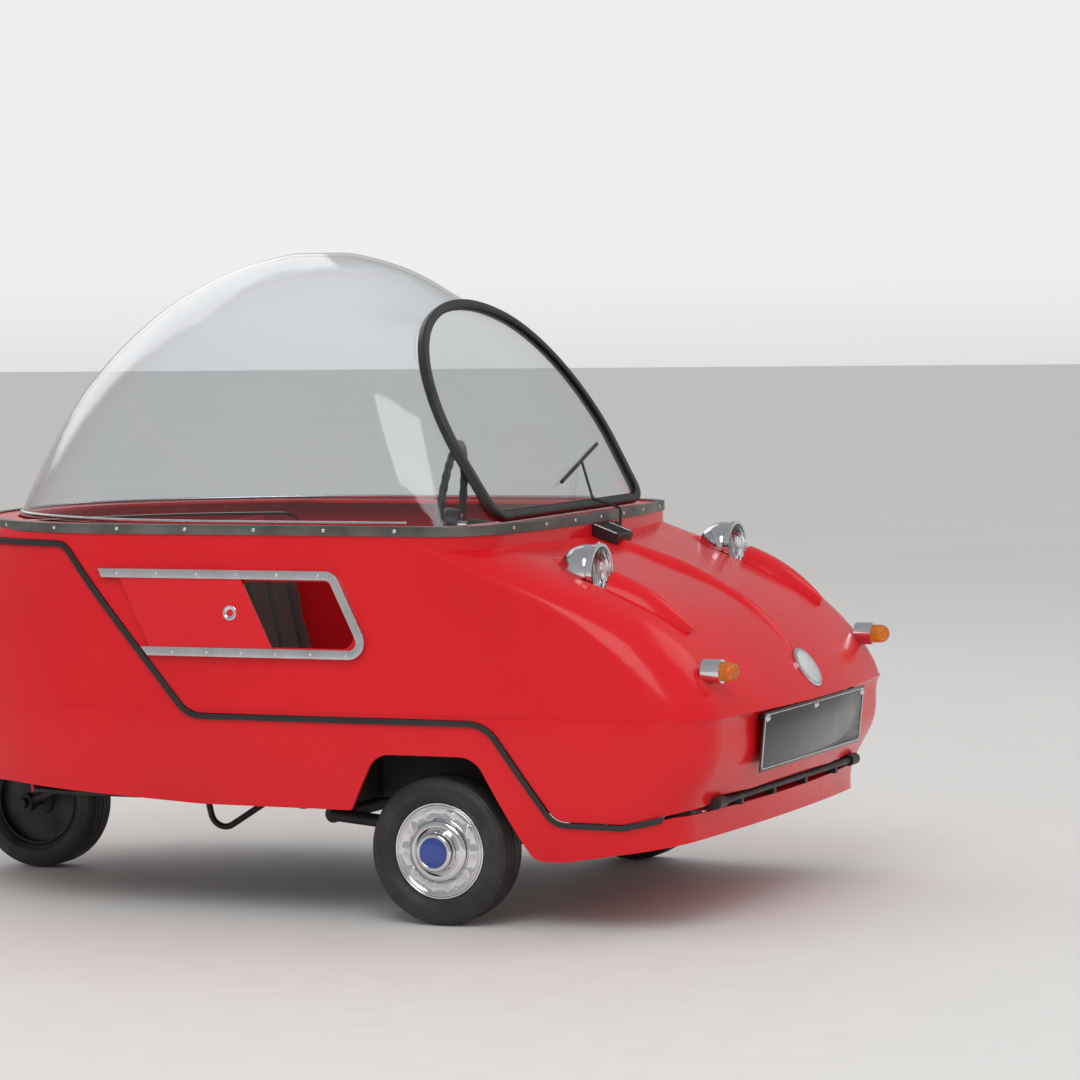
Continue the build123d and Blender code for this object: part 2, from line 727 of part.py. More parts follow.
# Headlamps
bowls, lenses = [], []
for place in lamp_places:
    bowl = turned(lamp_bowl_profile(0), place) - turned(lamp_bowl_profile(-lamp_wall), place)
    band = Face(Wire(Polyline((0, lamp_radius - lamp_wall), (0, lamp_radius),
                              (lamp_band_proud, lamp_radius + lamp_band_proud),
                              (lamp_band, lamp_radius + lamp_band_proud),
                              (lamp_band, lamp_radius - lamp_wall), close=True).edges()))
    bowls.append(bowl + turned(band, place))
    lens_edge = lamp_radius - lamp_wall - seat_gap
    outer_arc = cap_arc(lamp_band, lens_edge, lamp_bulge)
    lens = Face(Wire([outer_arc, Line(outer_arc @ 1, (lamp_band - lamp_wall, 0)),
                      Line((lamp_band - lamp_wall, 0), (lamp_band - lamp_wall, lens_edge)),
                      Line((lamp_band - lamp_wall, lens_edge), outer_arc @ 0)]))
    lenses.append(turned(lens, place))
write("headlamp_bowls", *bowls)
write("headlamp_lenses", *lenses)

# Indicators on the nose
indicator_bases, indicator_lenses = [], []
for side in (-1, 1):
    x, y, z = indicator_place[0], side * indicator_place[1], indicator_place[2]
    base = rod((x - indicator_root, y, z), (x, y, z), indicator_radius)
    indicator_bases.append(base - seat_form)
    bullet = cap_arc(indicator_reach, indicator_lens_radius, indicator_lens_radius)
    bullet_lines = Polyline(bullet @ 1, (seat_gap, 0), (seat_gap, indicator_lens_radius),
                            bullet @ 0)
    lens = Face(Wire([bullet] + list(bullet_lines.edges())))
    indicator_lenses.append(turned(lens, (x, y, z)))
write("indicator_lenses", *indicator_lenses)

# Round lamp on the nose
nose_plane = Plane(origin=(nose_lamp_x, 0, nose_lamp_z), x_dir=(0, 1, 0),
                   z_dir=(math.cos(math.radians(nose_lamp_tilt)), 0,
                          math.sin(math.radians(nose_lamp_tilt))))
turned_up = nose_plane * Rot(0, -90, 0)
ring_hole = nose_lamp_radius - nose_lamp_rim
ring_line = [(-nose_lamp_proud, 0), (nose_lamp_floor, 0), (nose_lamp_floor, ring_hole),
             (nose_lamp_proud, ring_hole), (nose_lamp_proud, nose_lamp_radius - nose_lamp_bevel),
             (nose_lamp_proud - nose_lamp_bevel, nose_lamp_radius),
             (-nose_lamp_proud, nose_lamp_radius)]
nose_ring = revolve(make_face(Polyline(*ring_line, close=True)), Axis.X)
glass_arc = cap_arc(nose_lamp_proud, ring_hole - seat_gap, nose_lamp_bulge)
glass_foot = nose_lamp_floor + seat_gap
glass_lines = [glass_arc, Line(glass_arc @ 1, (glass_foot, 0)),
               Line((glass_foot, 0), (glass_foot, ring_hole - seat_gap)),
               Line((glass_foot, ring_hole - seat_gap), glass_arc @ 0)]
write("nose_lamp_bases", (turned_up * nose_ring) - seat_form, *indicator_bases)
write("nose_lamp_glass", turned_up * revolve(Face(Wire(glass_lines)), Axis.X))

# Blank number plate on its studs
plate_tilt = math.radians(plate_lean)
plate_plane = Plane(origin=(plate_top_x, 0, plate_top_z), x_dir=(0, 1, 0),
                    z_dir=(math.cos(plate_tilt), 0, -math.sin(plate_tilt)))
plate = Pos(0, -plate_height / 2, -plate_thick / 2) * Box(plate_width, plate_height, plate_thick)
for place in plate_stud_y:
    plate += Pos(place, -plate_stud_down, -plate_stud_long / 2) * Cylinder(plate_stud_radius,
                                                                          plate_stud_long)
write("number_plate", (plate_plane * plate) - seat_form)

# Vent scoop ahead of the windscreen
vent = Box(vent_long, vent_wide, vent_tall)
for number in range(vent_slots):
    place = (number - (vent_slots - 1) / 2) * vent_pitch
    vent -= Pos(0, place, vent_tall / 2) * Box(vent_long - 2 * vent_edge, vent_pitch / 2,
                                               vent_tall / 2)
vent = Pos(*vent_place) * Rot(0, vent_slope, 0) * vent
write("vent_scoop", vent - seat_form)

# Wiper: spindle on the scuttle, arm and blade on the pane
blade_ends = [screen_plane.from_local_coords((y, up, wiper_lift)) for y, up in wiper_blade]
blade_hold = blade_ends[0] + (blade_ends[1] - blade_ends[0]) * wiper_hold
wiper = bent_bar(wiper_foot + [tuple(blade_hold)], wiper_bend, wiper_arm_radius)
wiper += rod(wiper_foot[0], wiper_foot[1], wiper_boss_radius)
wiper += rod(tuple(blade_ends[0]), tuple(blade_ends[1]), wiper_blade_radius)
write("wiper", wiper)

# Hinge of the tilting shell
hinge_rod = rod((hinge_x, -knuckle_y - knuckle_half, hinge_z),
                (hinge_x, knuckle_y + knuckle_half, hinge_z), hinge_rod_radius)
for y in lug_places:
    hinge_rod += block(hinge_x - lug_deep, hinge_x + hinge_rod_radius, y - lug_half, y + lug_half,
                       band_top + seat_gap, hinge_z)
write("hinge_rod", hinge_rod)
strap_form = hollow(skin + seat_gap) - hollow(2 * skin)
knuckles = []
for side in (-1, 1):
    low, high = sorted((side * (knuckle_y - knuckle_half), side * (knuckle_y + knuckle_half)))
    tube = rod((hinge_x, low, hinge_z), (hinge_x, high, hinge_z), knuckle_radius)
    low_strap, high_strap = low + strap_edge, high - strap_edge
    foot_z = hinge_z - knuckle_radius
    strap = strap_form & block(0, half_length, low_strap, high_strap, foot_z, strap_top)
    foot = block(hinge_x - strap_reach, hinge_x, low_strap, high_strap, foot_z,
                 foot_z + strap_foot)
    joined = strap + foot + tube
    joined -= rod((hinge_x, low - skin, hinge_z), (hinge_x, high + skin, hinge_z),
                  hinge_rod_radius + turn_gap)
    knuckles.append(joined)
write("hinge_knuckles", *knuckles)

# Floor pan with its wheel wells and toe board
floor_limit = hollow(skin + seat_gap)
well_limit = hollow(skin + well_clear)
floor_top = floor_z + floor_thick
floor = block(bulkhead_x, floor_step_x, -across, across, floor_z, floor_top) & floor_limit
floor += block(floor_step_x, toe_x, -across, across, floor_z, floor_top) & well_limit
for solid in both_sides(block(well_rear_x, well_front_x, well_half_y, across, 0, well_top)):
    floor -= solid
well_shell = block(well_rear_x - well_wall, well_front_x + well_wall, well_half_y - well_wall,
                   across, floor_z, well_top + well_wall)
well_shell -= block(well_rear_x, well_front_x, well_half_y, across, 0, well_top)
well_shell = well_shell & well_limit
for solid in both_sides(well_shell):
    floor += solid
toe = side_region([(toe_x - floor_thick, floor_z), (toe_x, floor_z),
                   (toe_x + toe_run, toe_top), (toe_x + toe_run - floor_thick, toe_top)],
                  [0.0, 0.0, 0.0, 0.0])
floor += toe & well_limit

# Bulkhead behind the seat and the deck over the engine
rear_limit = hollow(skin + seat_gap)
bulkhead = block(bulkhead_x - floor_thick, bulkhead_x, -across, across, floor_z, deck_z)
bulkhead += block(-half_length, bulkhead_x, -across, across, deck_z - floor_thick, deck_z)
write("rear_bulkhead", bulkhead & rear_limit)

# Chassis tubes under the floor
tube_z = floor_z - seat_gap - tube_radius
chassis = None
for y in (-tube_y, tube_y):
    piece = rod((tube_rear_x, y, tube_z), (tube_front_x, y, tube_z), tube_radius)
    chassis = piece if chassis is None else chassis + piece
for x in cross_tube_x:
    chassis += rod((x, -tube_y, tube_z), (x, tube_y, tube_z), cross_tube_radius)
for side in (-1, 1):
    bar = [(x, side * tube_y, z) for x, z in hoop_points]
    chassis += bent_bar(bar, hoop_bend, hoop_radius)
write("chassis_frame", chassis)

# Front suspension: cross tube, trailing arms and kingpin housings
arm_z = tube_z - tube_radius - seat_gap - arm_tube_radius
suspension = rod((arm_pivot_x, -arm_y, arm_z), (arm_pivot_x, arm_y, arm_z), arm_tube_radius)
for side in (-1, 1):
    knee = (arm_knee_x, side * arm_y, wheel_z + arm_knee_up)
    pin_centre = (front_axle_x, side * kingpin_y, wheel_z)
    suspension += bent_bar([(arm_pivot_x, side * arm_y, arm_z), knee, pin_centre], arm_bend,
                           arm_radius)
    low = (front_axle_x, side * kingpin_y, wheel_z - kingpin_housing_half)
    high = (front_axle_x, side * kingpin_y, wheel_z + kingpin_housing_half)
    suspension += rod(low, high, kingpin_housing_radius)
    suspension -= rod(low, high, kingpin_radius + turn_gap)
write("front_suspension", suspension)

# Knuckles that turn on the kingpins
ear_gap = kingpin_housing_half + turn_gap
arm_low = wheel_z - ear_gap - ear_thick


def knuckle_left():
    """Yoke with kingpin, stub axle, brake back plate and steering arm."""
    x, y = front_axle_x, kingpin_y
    yoke = block(x - ear_half, x + ear_half, yoke_plate_y, yoke_plate_y + yoke_plate,
                 arm_low, wheel_z + ear_gap + ear_thick)
    for low in (arm_low, wheel_z + ear_gap):
        yoke += block(x - ear_half, x + ear_half, y, yoke_plate_y, low, low + ear_thick)
        yoke += Pos(x, y, low) * Cylinder(ear_half, ear_thick,
                                          align=(Align.CENTER, Align.CENTER, Align.MIN))
    yoke += rod((x, y, arm_low), (x, y, wheel_z + ear_gap + ear_thick), kingpin_radius)
    yoke += rod((x, yoke_plate_y, wheel_z), (x, wheel_y + stub_past, wheel_z), axle_radius)
    yoke += rod((x, yoke_plate_y + yoke_plate, wheel_z),
                (x, yoke_plate_y + yoke_plate + back_plate, wheel_z), back_plate_radius)
    yoke += block(x - steer_arm_reach, x, y - arm_half, y + arm_half, arm_low,
                  arm_low + ear_thick)
    yoke += Pos(x - steer_arm_reach, y, arm_low) * Cylinder(
        arm_half, ear_thick, align=(Align.CENTER, Align.CENTER, Align.MIN))
    return yoke


for name, solid in zip(("left", "right"), both_sides(knuckle_left())):
    write("knuckle_" + name, solid)

# Track rod in its rack housing, and the steering pillar
rod_x = front_axle_x - steer_arm_reach
rod_z = arm_low - turn_gap - rod_eye_thick / 2
track_rod = rod((rod_x, -kingpin_y, rod_z), (rod_x, kingpin_y, rod_z), track_rod_radius)
for side in (-1, 1):
    track_rod += Pos(rod_x, side * kingpin_y, rod_z) * Cylinder(rod_eye_radius, rod_eye_thick)
write("track_rod", track_rod)

yaw, drop = math.radians(column_yaw), math.radians(column_drop)
column_axis = Vector(math.cos(yaw) * math.cos(drop), math.sin(yaw) * math.cos(drop),
                     -math.sin(drop))
wheel_centre = Vector(*steering_centre)
column_start = wheel_centre + column_axis * column_behind_hub
column_end = wheel_centre + column_axis * column_length
rack_middle = (rod_x, rack_y, rod_z)
pillar_head = wheel_centre + column_axis * (column_length - pillar_radius)
pillar = rod(rack_middle, tuple(pillar_head), pillar_radius)
pillar += rod(tuple(column_start), tuple(column_end), column_tube)
pillar += rod((rod_x, rack_y - rack_half, rod_z), (rod_x, rack_y + rack_half, rod_z), rack_radius)
share = (floor_top + seat_gap - rod_z) / (pillar_head.Z - rod_z)
foot_x = rod_x + (pillar_head.X - rod_x) * share
foot_y = rack_y + (pillar_head.Y - rack_y) * share
pillar += Pos(foot_x, foot_y, floor_top + seat_gap) * Cylinder(
    pillar_flange, pillar_flange_thick, align=(Align.CENTER, Align.CENTER, Align.MIN))
pillar -= rod(tuple(wheel_centre), tuple(column_end), column_radius + turn_gap)
pillar -= rod((rod_x, rack_y - rack_half, rod_z), (rod_x, rack_y + rack_half, rod_z),
              track_rod_radius + rack_play)
write("steering_pillar", pillar)
floor -= rod(rack_middle, tuple(pillar_head), pillar_radius + pillar_clear)
write("floor_pan", floor)

# Steering wheel with its shaft
spoke_plane = Plane(origin=wheel_centre, z_dir=column_axis, x_dir=(-math.sin(yaw),
                                                                  math.cos(yaw), 0))
steering = spoke_plane * Torus(steering_wheel_radius, steering_rim_radius)
steering += spoke_plane * Box(2 * steering_wheel_radius, spoke_wide, spoke_thick)
steering += spoke_plane * Cylinder(steering_hub_radius, steering_hub_long)
steering += rod(tuple(wheel_centre), tuple(wheel_centre + column_axis * shaft_length),
                column_radius)
write("steering_wheel", steering)

# Wheels
tyre_half = tyre_width / 2
bead = rim_radius + seat_gap
tyre_points = [(bead, -tyre_half + bead_in), (bead + bead_rise, -tyre_half),
               (tyre_radius - shoulder_drop, -tyre_half), (tyre_radius, -tyre_half + shoulder_in),
               (tyre_radius, tyre_half - shoulder_in), (tyre_radius - shoulder_drop, tyre_half),
               (bead + bead_rise, tyre_half), (bead, tyre_half - bead_in)]
tyre_radii = [0.0, bead_round, shoulder_round, tread_round, tread_round, shoulder_round,
              bead_round, 0.0]
tyre_face = Face(Wire(FilletPolyline(*tyre_points, radius=tyre_radii, close=True).edges()))


def rim_face(outward):
    """Half section of a steel rim with its disc and hub: radius, then distance outward."""
    half = rim_width / 2
    inner = rim_radius - rim_wall
    bore = axle_radius + turn_gap
    points = [(rim_radius, -half), (rim_radius, half), (inner, half),
              (inner, disc_out + disc_thick), (hub_radius, disc_out + disc_thick),
              (hub_radius, hub_out), (bore, hub_out), (bore, -hub_in),
              (hub_radius, -hub_in), (hub_radius, disc_out), (inner, disc_out), (inner, -half)]
    return make_face(Polyline(*[(r, outward * w) for r, w in points], close=True))


def hub_cap(side):
    """Chromed cap: flat centre boss, stepped shoulder, dish and rolled edge."""
    outline = hub_cap_steps + [(r, w - cap_thick) for r, w in reversed(hub_cap_steps)]
    return make_face(Polyline(*[(r, side * w) for r, w in outline], close=True))


front_names = {1: "left", -1: "right"}
for side, name in front_names.items():
    place = (front_axle_x, side * wheel_y, wheel_z)
    write("tyre_front_" + name, wheel_turned(tyre_face, place))
    write("rim_front_" + name, wheel_turned(rim_face(side), place))
    write("hub_cap_" + name, wheel_turned(hub_cap(side), place))
rear_place = (rear_axle_x, 0, wheel_z)
write("tyre_rear", wheel_turned(tyre_face, rear_place))
write("rim_rear", wheel_turned(rim_face(-1), rear_place))

# Rear axle and the fork that carries it
axle_reach = fork_y + fork_radius + fork_cheek + axle_nut
fork_half = fork_radius + fork_cheek
sleeve = rod((fork_pivot_x, -fork_y - fork_half, tube_z),
             (fork_pivot_x, fork_y + fork_half, tube_z), tube_radius + fork_sleeve)
for y in (-fork_y, fork_y):
    sleeve += rod((fork_pivot_x, y, tube_z), (rear_axle_x, y, wheel_z), fork_radius)
    sleeve += rod((rear_axle_x, y - fork_half, wheel_z), (rear_axle_x, y + fork_half, wheel_z),
                  fork_eye)
sleeve -= rod((fork_pivot_x, -across, tube_z), (fork_pivot_x, across, tube_z),
              cross_tube_radius + seat_gap)
sleeve += rod((rear_axle_x, -axle_reach, wheel_z), (rear_axle_x, axle_reach, wheel_z),
              axle_radius)
write("rear_fork", sleeve)

# Engine block on the left chassis tube, and its exhaust
write("engine_block", block(*engine_x, *engine_y, floor_z, engine_top))
pipe_x = engine_x[1] - exhaust_inset
exhaust = bent_bar([(pipe_x, exhaust_y, floor_z - seat_gap), (pipe_x, exhaust_y, exhaust_z),
                    (exhaust_end_x, exhaust_y, exhaust_z)], exhaust_bend, exhaust_pipe)
exhaust += rod((silencer_x[0], exhaust_y, exhaust_z), (silencer_x[1], exhaust_y, exhaust_z),
               silencer_radius)
write("exhaust", exhaust)

# Seat: moulded pan, cushion and backrest
seat_low = floor_top + seat_gap
pan_line = Polyline((seat_front_x, seat_low), (seat_front_x, seat_low + pan_rise),
                    (seat_rear_x, seat_low + pan_rise), (seat_top_x, seat_top_z))
pan_face = trace(pan_line, line_width=skin)
seat_pan = Pos(0, seat_half, 0) * extrude(Plane.XZ * pan_face, 2 * seat_half)
write("seat_pan", seat_pan & block(-across, across, -across, across, seat_low, rim_top))
back_lean = (seat_rear_x - seat_top_x) / (seat_top_z - seat_low - pan_rise)
cushion_low = seat_low + pan_rise + skin / 2 + seat_gap
lift = cushion_low - seat_low - pan_rise
off_back = (skin / 2 + seat_gap) * math.hypot(1, back_lean)
cushion_rear = seat_rear_x + off_back - lift * back_lean
cushion = side_region([(cushion_rear, cushion_low), (seat_front_x, cushion_low),
                       (seat_front_x, cushion_low + cushion_thick),
                       (cushion_rear - cushion_thick * back_lean, cushion_low + cushion_thick)],
                      [0.0, cushion_round, cushion_round, 0.0], -pad_half, pad_half)
write("seat_cushion", cushion)
back_low = cushion_low + cushion_thick + seat_gap
back_x = seat_rear_x + off_back - (back_low - seat_low - pan_rise) * back_lean
back_high = seat_top_z - back_below_top
back_top_x = back_x - (back_high - back_low) * back_lean
backrest = side_region([(back_x, back_low), (back_x + back_thick, back_low),
                        (back_top_x + back_thick, back_high), (back_top_x, back_high)],
                       [0.0, cushion_round, cushion_round, 0.0], -pad_half, pad_half)
write("seat_backrest", backrest)

# Pedals and gear lever
pedals = []
for y in pedal_y:
    pedal = block(pedal_x - pedal_foot, pedal_x + pedal_foot, y - pedal_foot, y + pedal_foot,
                  floor_top + seat_gap, floor_top + pedal_foot)
    top = (pedal_x - pedal_lean, y, floor_top + pedal_tall)
    pedal += rod((pedal_x, y, floor_top + pedal_foot / 2), top, pedal_arm)
    pedal += Pos(*top) * Rot(0, -pedal_face_tilt, 0) * Box(pedal_pad_thick, pedal_pad_wide,
                                                          pedal_pad_tall)
    pedals.append(pedal)
lever = block(lever_x - lever_foot, lever_x + lever_foot, lever_y - lever_foot,
              lever_y + lever_foot, floor_top + seat_gap, floor_top + lever_foot / 2)
lever_head = (lever_x - lever_lean, lever_y, floor_top + lever_tall)
lever += rod((lever_x, lever_y, floor_top + lever_foot / 4), lever_head, lever_radius)
lever += Pos(*lever_head) * Sphere(lever_knob)
write("controls", lever, *pedals)

# Rear lamps
rear_bases, rear_lenses = [], []
for side in (-1, 1):
    spread = math.radians(rear_lamp_spread)
    tail_row = upper_rows[1]
    centre_x = tail_row[5] + tail_row[6]
    reach = tail_row[6]
    out = Vector(-math.cos(spread), side * math.sin(spread), 0)
    foot = Vector(centre_x, 0, rear_lamp_z) + out * reach
    base = rod(tuple(foot - out * rear_lamp_root), tuple(foot + out * rear_lamp_proud),
               rear_lamp_radius)
    rear_bases.append(base - outer)
    glass_foot = foot + out * (rear_lamp_proud + seat_gap)
    glass = Plane(origin=glass_foot, z_dir=out) * Sphere(rear_lens_radius)
    outside = Plane(origin=glass_foot, z_dir=out) * Cylinder(
        rear_lens_radius + skin, rear_lens_radius + skin,
        align=(Align.CENTER, Align.CENTER, Align.MIN))
    rear_lenses.append(glass & outside)
write("rear_lamp_bases", *rear_bases)
write("rear_lamp_lenses", *rear_lenses)
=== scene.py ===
"""Looks of a three wheeled microcar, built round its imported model.

Metres, in the model's own frame: X forward, Y to the car's left, Z up, ground at zero.
"""

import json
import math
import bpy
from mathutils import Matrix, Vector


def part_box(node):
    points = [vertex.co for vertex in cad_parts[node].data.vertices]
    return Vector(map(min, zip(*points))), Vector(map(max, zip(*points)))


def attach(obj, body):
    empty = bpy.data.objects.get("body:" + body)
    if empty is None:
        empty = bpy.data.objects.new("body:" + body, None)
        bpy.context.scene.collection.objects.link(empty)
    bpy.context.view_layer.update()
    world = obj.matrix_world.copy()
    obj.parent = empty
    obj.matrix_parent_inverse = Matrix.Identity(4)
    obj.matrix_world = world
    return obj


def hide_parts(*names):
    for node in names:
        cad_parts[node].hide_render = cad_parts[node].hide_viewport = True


bl_info = {
    "name": "Three wheeled microcar",
    "version": (1, 0, 0),
    "blender": (4, 5, 0),
    "location": "3D View > Sidebar > Microcar",
    "description": "Finishes and fine pieces of a bubble topped three wheeled microcar",
    "category": "Object",
}

import bmesh
import bpy
from mathutils import Matrix, Vector

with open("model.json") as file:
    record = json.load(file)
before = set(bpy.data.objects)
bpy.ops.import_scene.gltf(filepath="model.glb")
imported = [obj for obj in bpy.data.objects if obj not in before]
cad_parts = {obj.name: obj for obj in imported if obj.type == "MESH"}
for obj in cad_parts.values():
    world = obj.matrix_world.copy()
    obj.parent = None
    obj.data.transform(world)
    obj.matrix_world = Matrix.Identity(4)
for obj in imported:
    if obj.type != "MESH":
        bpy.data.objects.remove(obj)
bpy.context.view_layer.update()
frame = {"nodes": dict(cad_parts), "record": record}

MM = 0.001
MARGIN = 0.00005            # keeps small pieces from sharing a plane with what carries them
WELD_DISTANCE = 0.00001
FINISHES = {}

# Light and looks
FIELD_MIDDLE = (0.3, 0.7)   # the part of a noise field that carries its contrast
WIPE_MARKS = (60.0, 6.0, (0.2, 1, 1))
FACE_ON_MIRROR = 0.035      # share of light that a clear sheet's face mirrors straight on
SLANT_POWER = 5.0           # how late that share grows as the sheet is seen at a slant
REFLECTED_LEVEL = 0.5       # how bright the room is in reflections
ROOM_TONES = ((0.46, (0.50, 0.50, 0.50)), (0.5, (0.86, 0.86, 0.86)), (1.0, (0.62, 0.63, 0.65)))
FLOOR_SIZE = 40.0
LIGHT_AIM = Vector((0, 0, 0.5))
CAMERA_PLACE = (3.57219, -7.15045, 1.14685)
CAMERA_TURN = (24.19, 3.60, -1.00)      # yaw, pitch and roll in degrees
FOCAL_PIXELS = 4223.64
PICTURE_PIXELS = 1080
SENSOR_WIDTH = 36.0

# Body and trim
SMOOTH_BODY = 24.0
ROUND_FROM = 40.0
ROUNDING = {"windscreen_moulding": 0.006, "seam_strip": 0.0024, "rim_strip": 0.001,
            "window_channels": 0.0022, "number_plate": 0.0006, "vent_scoop": 0.0015}
BEAD_STEPS = 220
BEAD_FREE = 20.0            # degrees either side of straight ahead that are left free
BEAD_MIDDLE = -0.18
BEAD_FRONT = 0.30           # the windscreen's moulding takes over from here
BEAD_RADIUS = 0.0034
SCREW_DROP = 0.008          # trim screws sit this far inside a strip's edge
STRIP_END = 0.06
HATCH_PULL_PLACE = (-0.035, 0.7, 0.55)
PLATE_INSET = 0.005
PLATE_BOLTS = (-0.243, 0.0, 0.243)
PLATE_BOLT_DROP = 0.010
VENT_PITCH = 0.010
VENT_END = 0.004
LAMP_CENTRE = (0.612, 0.327, 0.622)

# Wheels
TYRE_RADIUS = 0.133
RIM_RADIUS = 0.0842
RIM_HALF = 0.0306
RIM_ROLL = 0.0026
TREAD_FROM = 0.1309         # radius beyond which the tread zigzags
TREAD_SWAY = 0.0011
RELIEF_RADII = (0.059, 0.073)
RELIEF_FIELDS = 10
RELIEF_HEIGHT = 0.0026
WHEELS = {"front_right": (0.364, -0.434, -1), "front_left": (0.364, 0.434, 1),
          "rear": (-0.72, 0.0, -1)}

# Seat and cabin
SWELL_STEPS = 20
SWELL_PRESSURE = 4.0
VOXEL = 0.006
PAD_INSET = 0.006           # a pad starts this much smaller than the block it replaces
CHANNEL_DEPTH = 0.006
STEERING_CENTRE = Vector((0.245, -0.150, 0.690))
STEERING_AXIS = Vector((-0.946998, -0.289526, 0.139173))
STEERING_LEVEL = Vector((0.289526, -0.946998, 0))
STEERING_RADIUS = 0.150
GRIPS = 36
MAT_CENTRE = (0.235, 0.0, 0.2152)
MAT_RIB_PITCH = 0.0135
LEVER_FOOT = (0.060, 0.020, 0.2262)
LEVER_LEAN = -0.19
PEDAL_TILT = math.radians(25)
PEDALS = [(0.475, -0.205, 0.325), (0.475, -0.140, 0.325), (0.475, -0.075, 0.325)]
FIN_COUNT = 11
FIN_PITCH = 0.0092
SILENCER = (0.214, 0.158)
SILENCER_BANDS = (-0.752, -0.568)


def mm(*rows):
    """Rows of millimetres as tuples of metres."""
    return [tuple(value * MM for value in row) for row in rows]


# Turned profiles in millimetres: radius and distance along the axis

TYRE_HALF = mm(
    (86.6, 30), (88.2, 33.2), (90.8, 36.2), (94, 39.4), (95.8, 40.4), (97.2, 42.4), (100.5, 44.3),
    (106, 44.9), (109.5, 44.8), (110.4, 44), (111.6, 44), (112.6, 44.5), (118, 43), (122.5, 40.8),
    (124.8, 39.2), (125.4, 37.8), (127.2, 37), (130, 33.8), (130.8, 31.8))
CAP_FACE = mm(
    (81.6, 30), (81.6, 32.2), (80.2, 33.4), (78.4, 33), (76.8, 31.2), (74.2, 29.6), (70, 28.8),
    (65, 29), (60, 30), (57.2, 31.6), (55.6, 34.6), (53.6, 37.6), (51, 39.6), (48, 40.8),
    (45, 41.1), (42.4, 40.8), (40.4, 42), (38.5, 45.2), (36.6, 50), (35, 54.2), (33.5, 56.8),
    (31.4, 58.4), (29.2, 59), (27.6, 58.7), (26.8, 57.8), (0, 57.8))
CAP_BACK = mm(
    (0, 55.5), (25, 55.5), (33, 48.5), (48, 38.5), (56, 27.5), (72, 27), (81.6, 29))
CAP_DISC = mm(
    (26.4, 57.5), (26.4, 58.4), (24, 59.1), (12, 59.5), (0, 59.6))
REFLECTOR = mm(
    (42.5, 9.5), (40, -5), (35, -18), (27, -30), (17, -39), (8, -43), (0, -44))
BULB = mm(
    (0, -43.5), (6, -43), (6, -33), (7.5, -29), (9, -23), (7.5, -17), (4, -14), (0, -13.2))
HATCH_PULL = mm(
    (13.5, -0.6), (13.5, 1.2), (12.2, 2), (10.5, 1.8), (9.2, 0.6), (6, -0.2), (0, -0.4))
BOLT_HEAD = mm(
    (7.5, 0), (7.5, 1), (6.2, 1.4), (5.8, 2.8), (4, 4.6), (1.8, 5.4), (0, 5.5))
WHEEL_BOSS = mm(
    (31.5, -16.5), (31.8, 4), (30, 9.5), (24, 12.8), (23.2, 13.8), (18, 15.8), (8, 16.6), (0, 16.8))


# Small tools for meshes


def smooth(mesh, angle=32.0):
    """Shade a mesh smooth, with its corners kept sharp."""
    mesh.polygons.foreach_set("use_smooth", [True] * len(mesh.polygons))
    mesh.set_sharp_from_angle(angle=math.radians(angle))
    return mesh


def make_mesh(name, builder, angle=32.0):
    """Turn a bmesh into a shaded mesh."""
    bmesh.ops.recalc_face_normals(builder, faces=builder.faces)
    mesh = bpy.data.meshes.new(name)
    builder.to_mesh(mesh)
    builder.free()
    return smooth(mesh, angle)


def add_piece(name, mesh, finish, body, replaces=()):
    """Put a mesh in the scene as a piece that rides on a body."""
    piece = bpy.data.objects.new(name, mesh)
    bpy.context.scene.collection.objects.link(piece)
    mesh.materials.clear()
    mesh.materials.append(FINISHES[finish])
    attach(piece, body)
    if replaces:
        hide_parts(*replaces)
    return piece


def add_made(name, builder, finish, body, angle=32.0, replaces=()):
    """Put what a builder holds in the scene as a shaded piece."""
    return add_piece(name, make_mesh(name, builder, angle), finish, body, replaces)


def axis_frame(place, direction, across=(0, 0, 1)):
    """Matrix whose Z points along a direction from a place."""
    along = Vector(direction).normalized()
    side = Vector(across).cross(along)
    if side.length < 1e-6:
        side = Vector((1, 0, 0)).cross(along)
    side.normalize()
    up = along.cross(side)
    turn = Matrix((side, up, along)).transposed().to_4x4()
    return Matrix.Translation(Vector(place)) @ turn


def add_ring_faces(builder, lower, upper, steps):
    """Faces between two rings, either of which may be one point."""
    for i in range(steps):
        j = (i + 1) % steps
        corners = [lower[i % len(lower)], lower[j % len(lower)],
                   upper[j % len(upper)], upper[i % len(upper)]]
        corners = list(dict.fromkeys(corners))
        if len(corners) > 2:
            builder.faces.new(corners)


def lathe(builder, profile, steps, place, closed=False, ripple=None):
    """Turn a profile of (radius, distance along Z) about the Z of a matrix."""
    rings = []
    for number, (radius, along) in enumerate(profile):
        if radius < 1e-7:
            rings.append([builder.verts.new(place @ Vector((0, 0, along)))])
            continue
        ring = []
        for i in range(steps):
            turn = 2 * math.pi * i / steps
            r, z = radius, along
            if ripple:
                r, z = ripple(number, turn, radius, along)
            ring.append(builder.verts.new(place @ Vector((r * math.cos(turn),
                                                          r * math.sin(turn), z))))
        rings.append(ring)
    pairs = list(zip(rings, rings[1:]))
    if closed:
        pairs.append((rings[-1], rings[0]))
    for lower, upper in pairs:
        add_ring_faces(builder, lower, upper, steps)


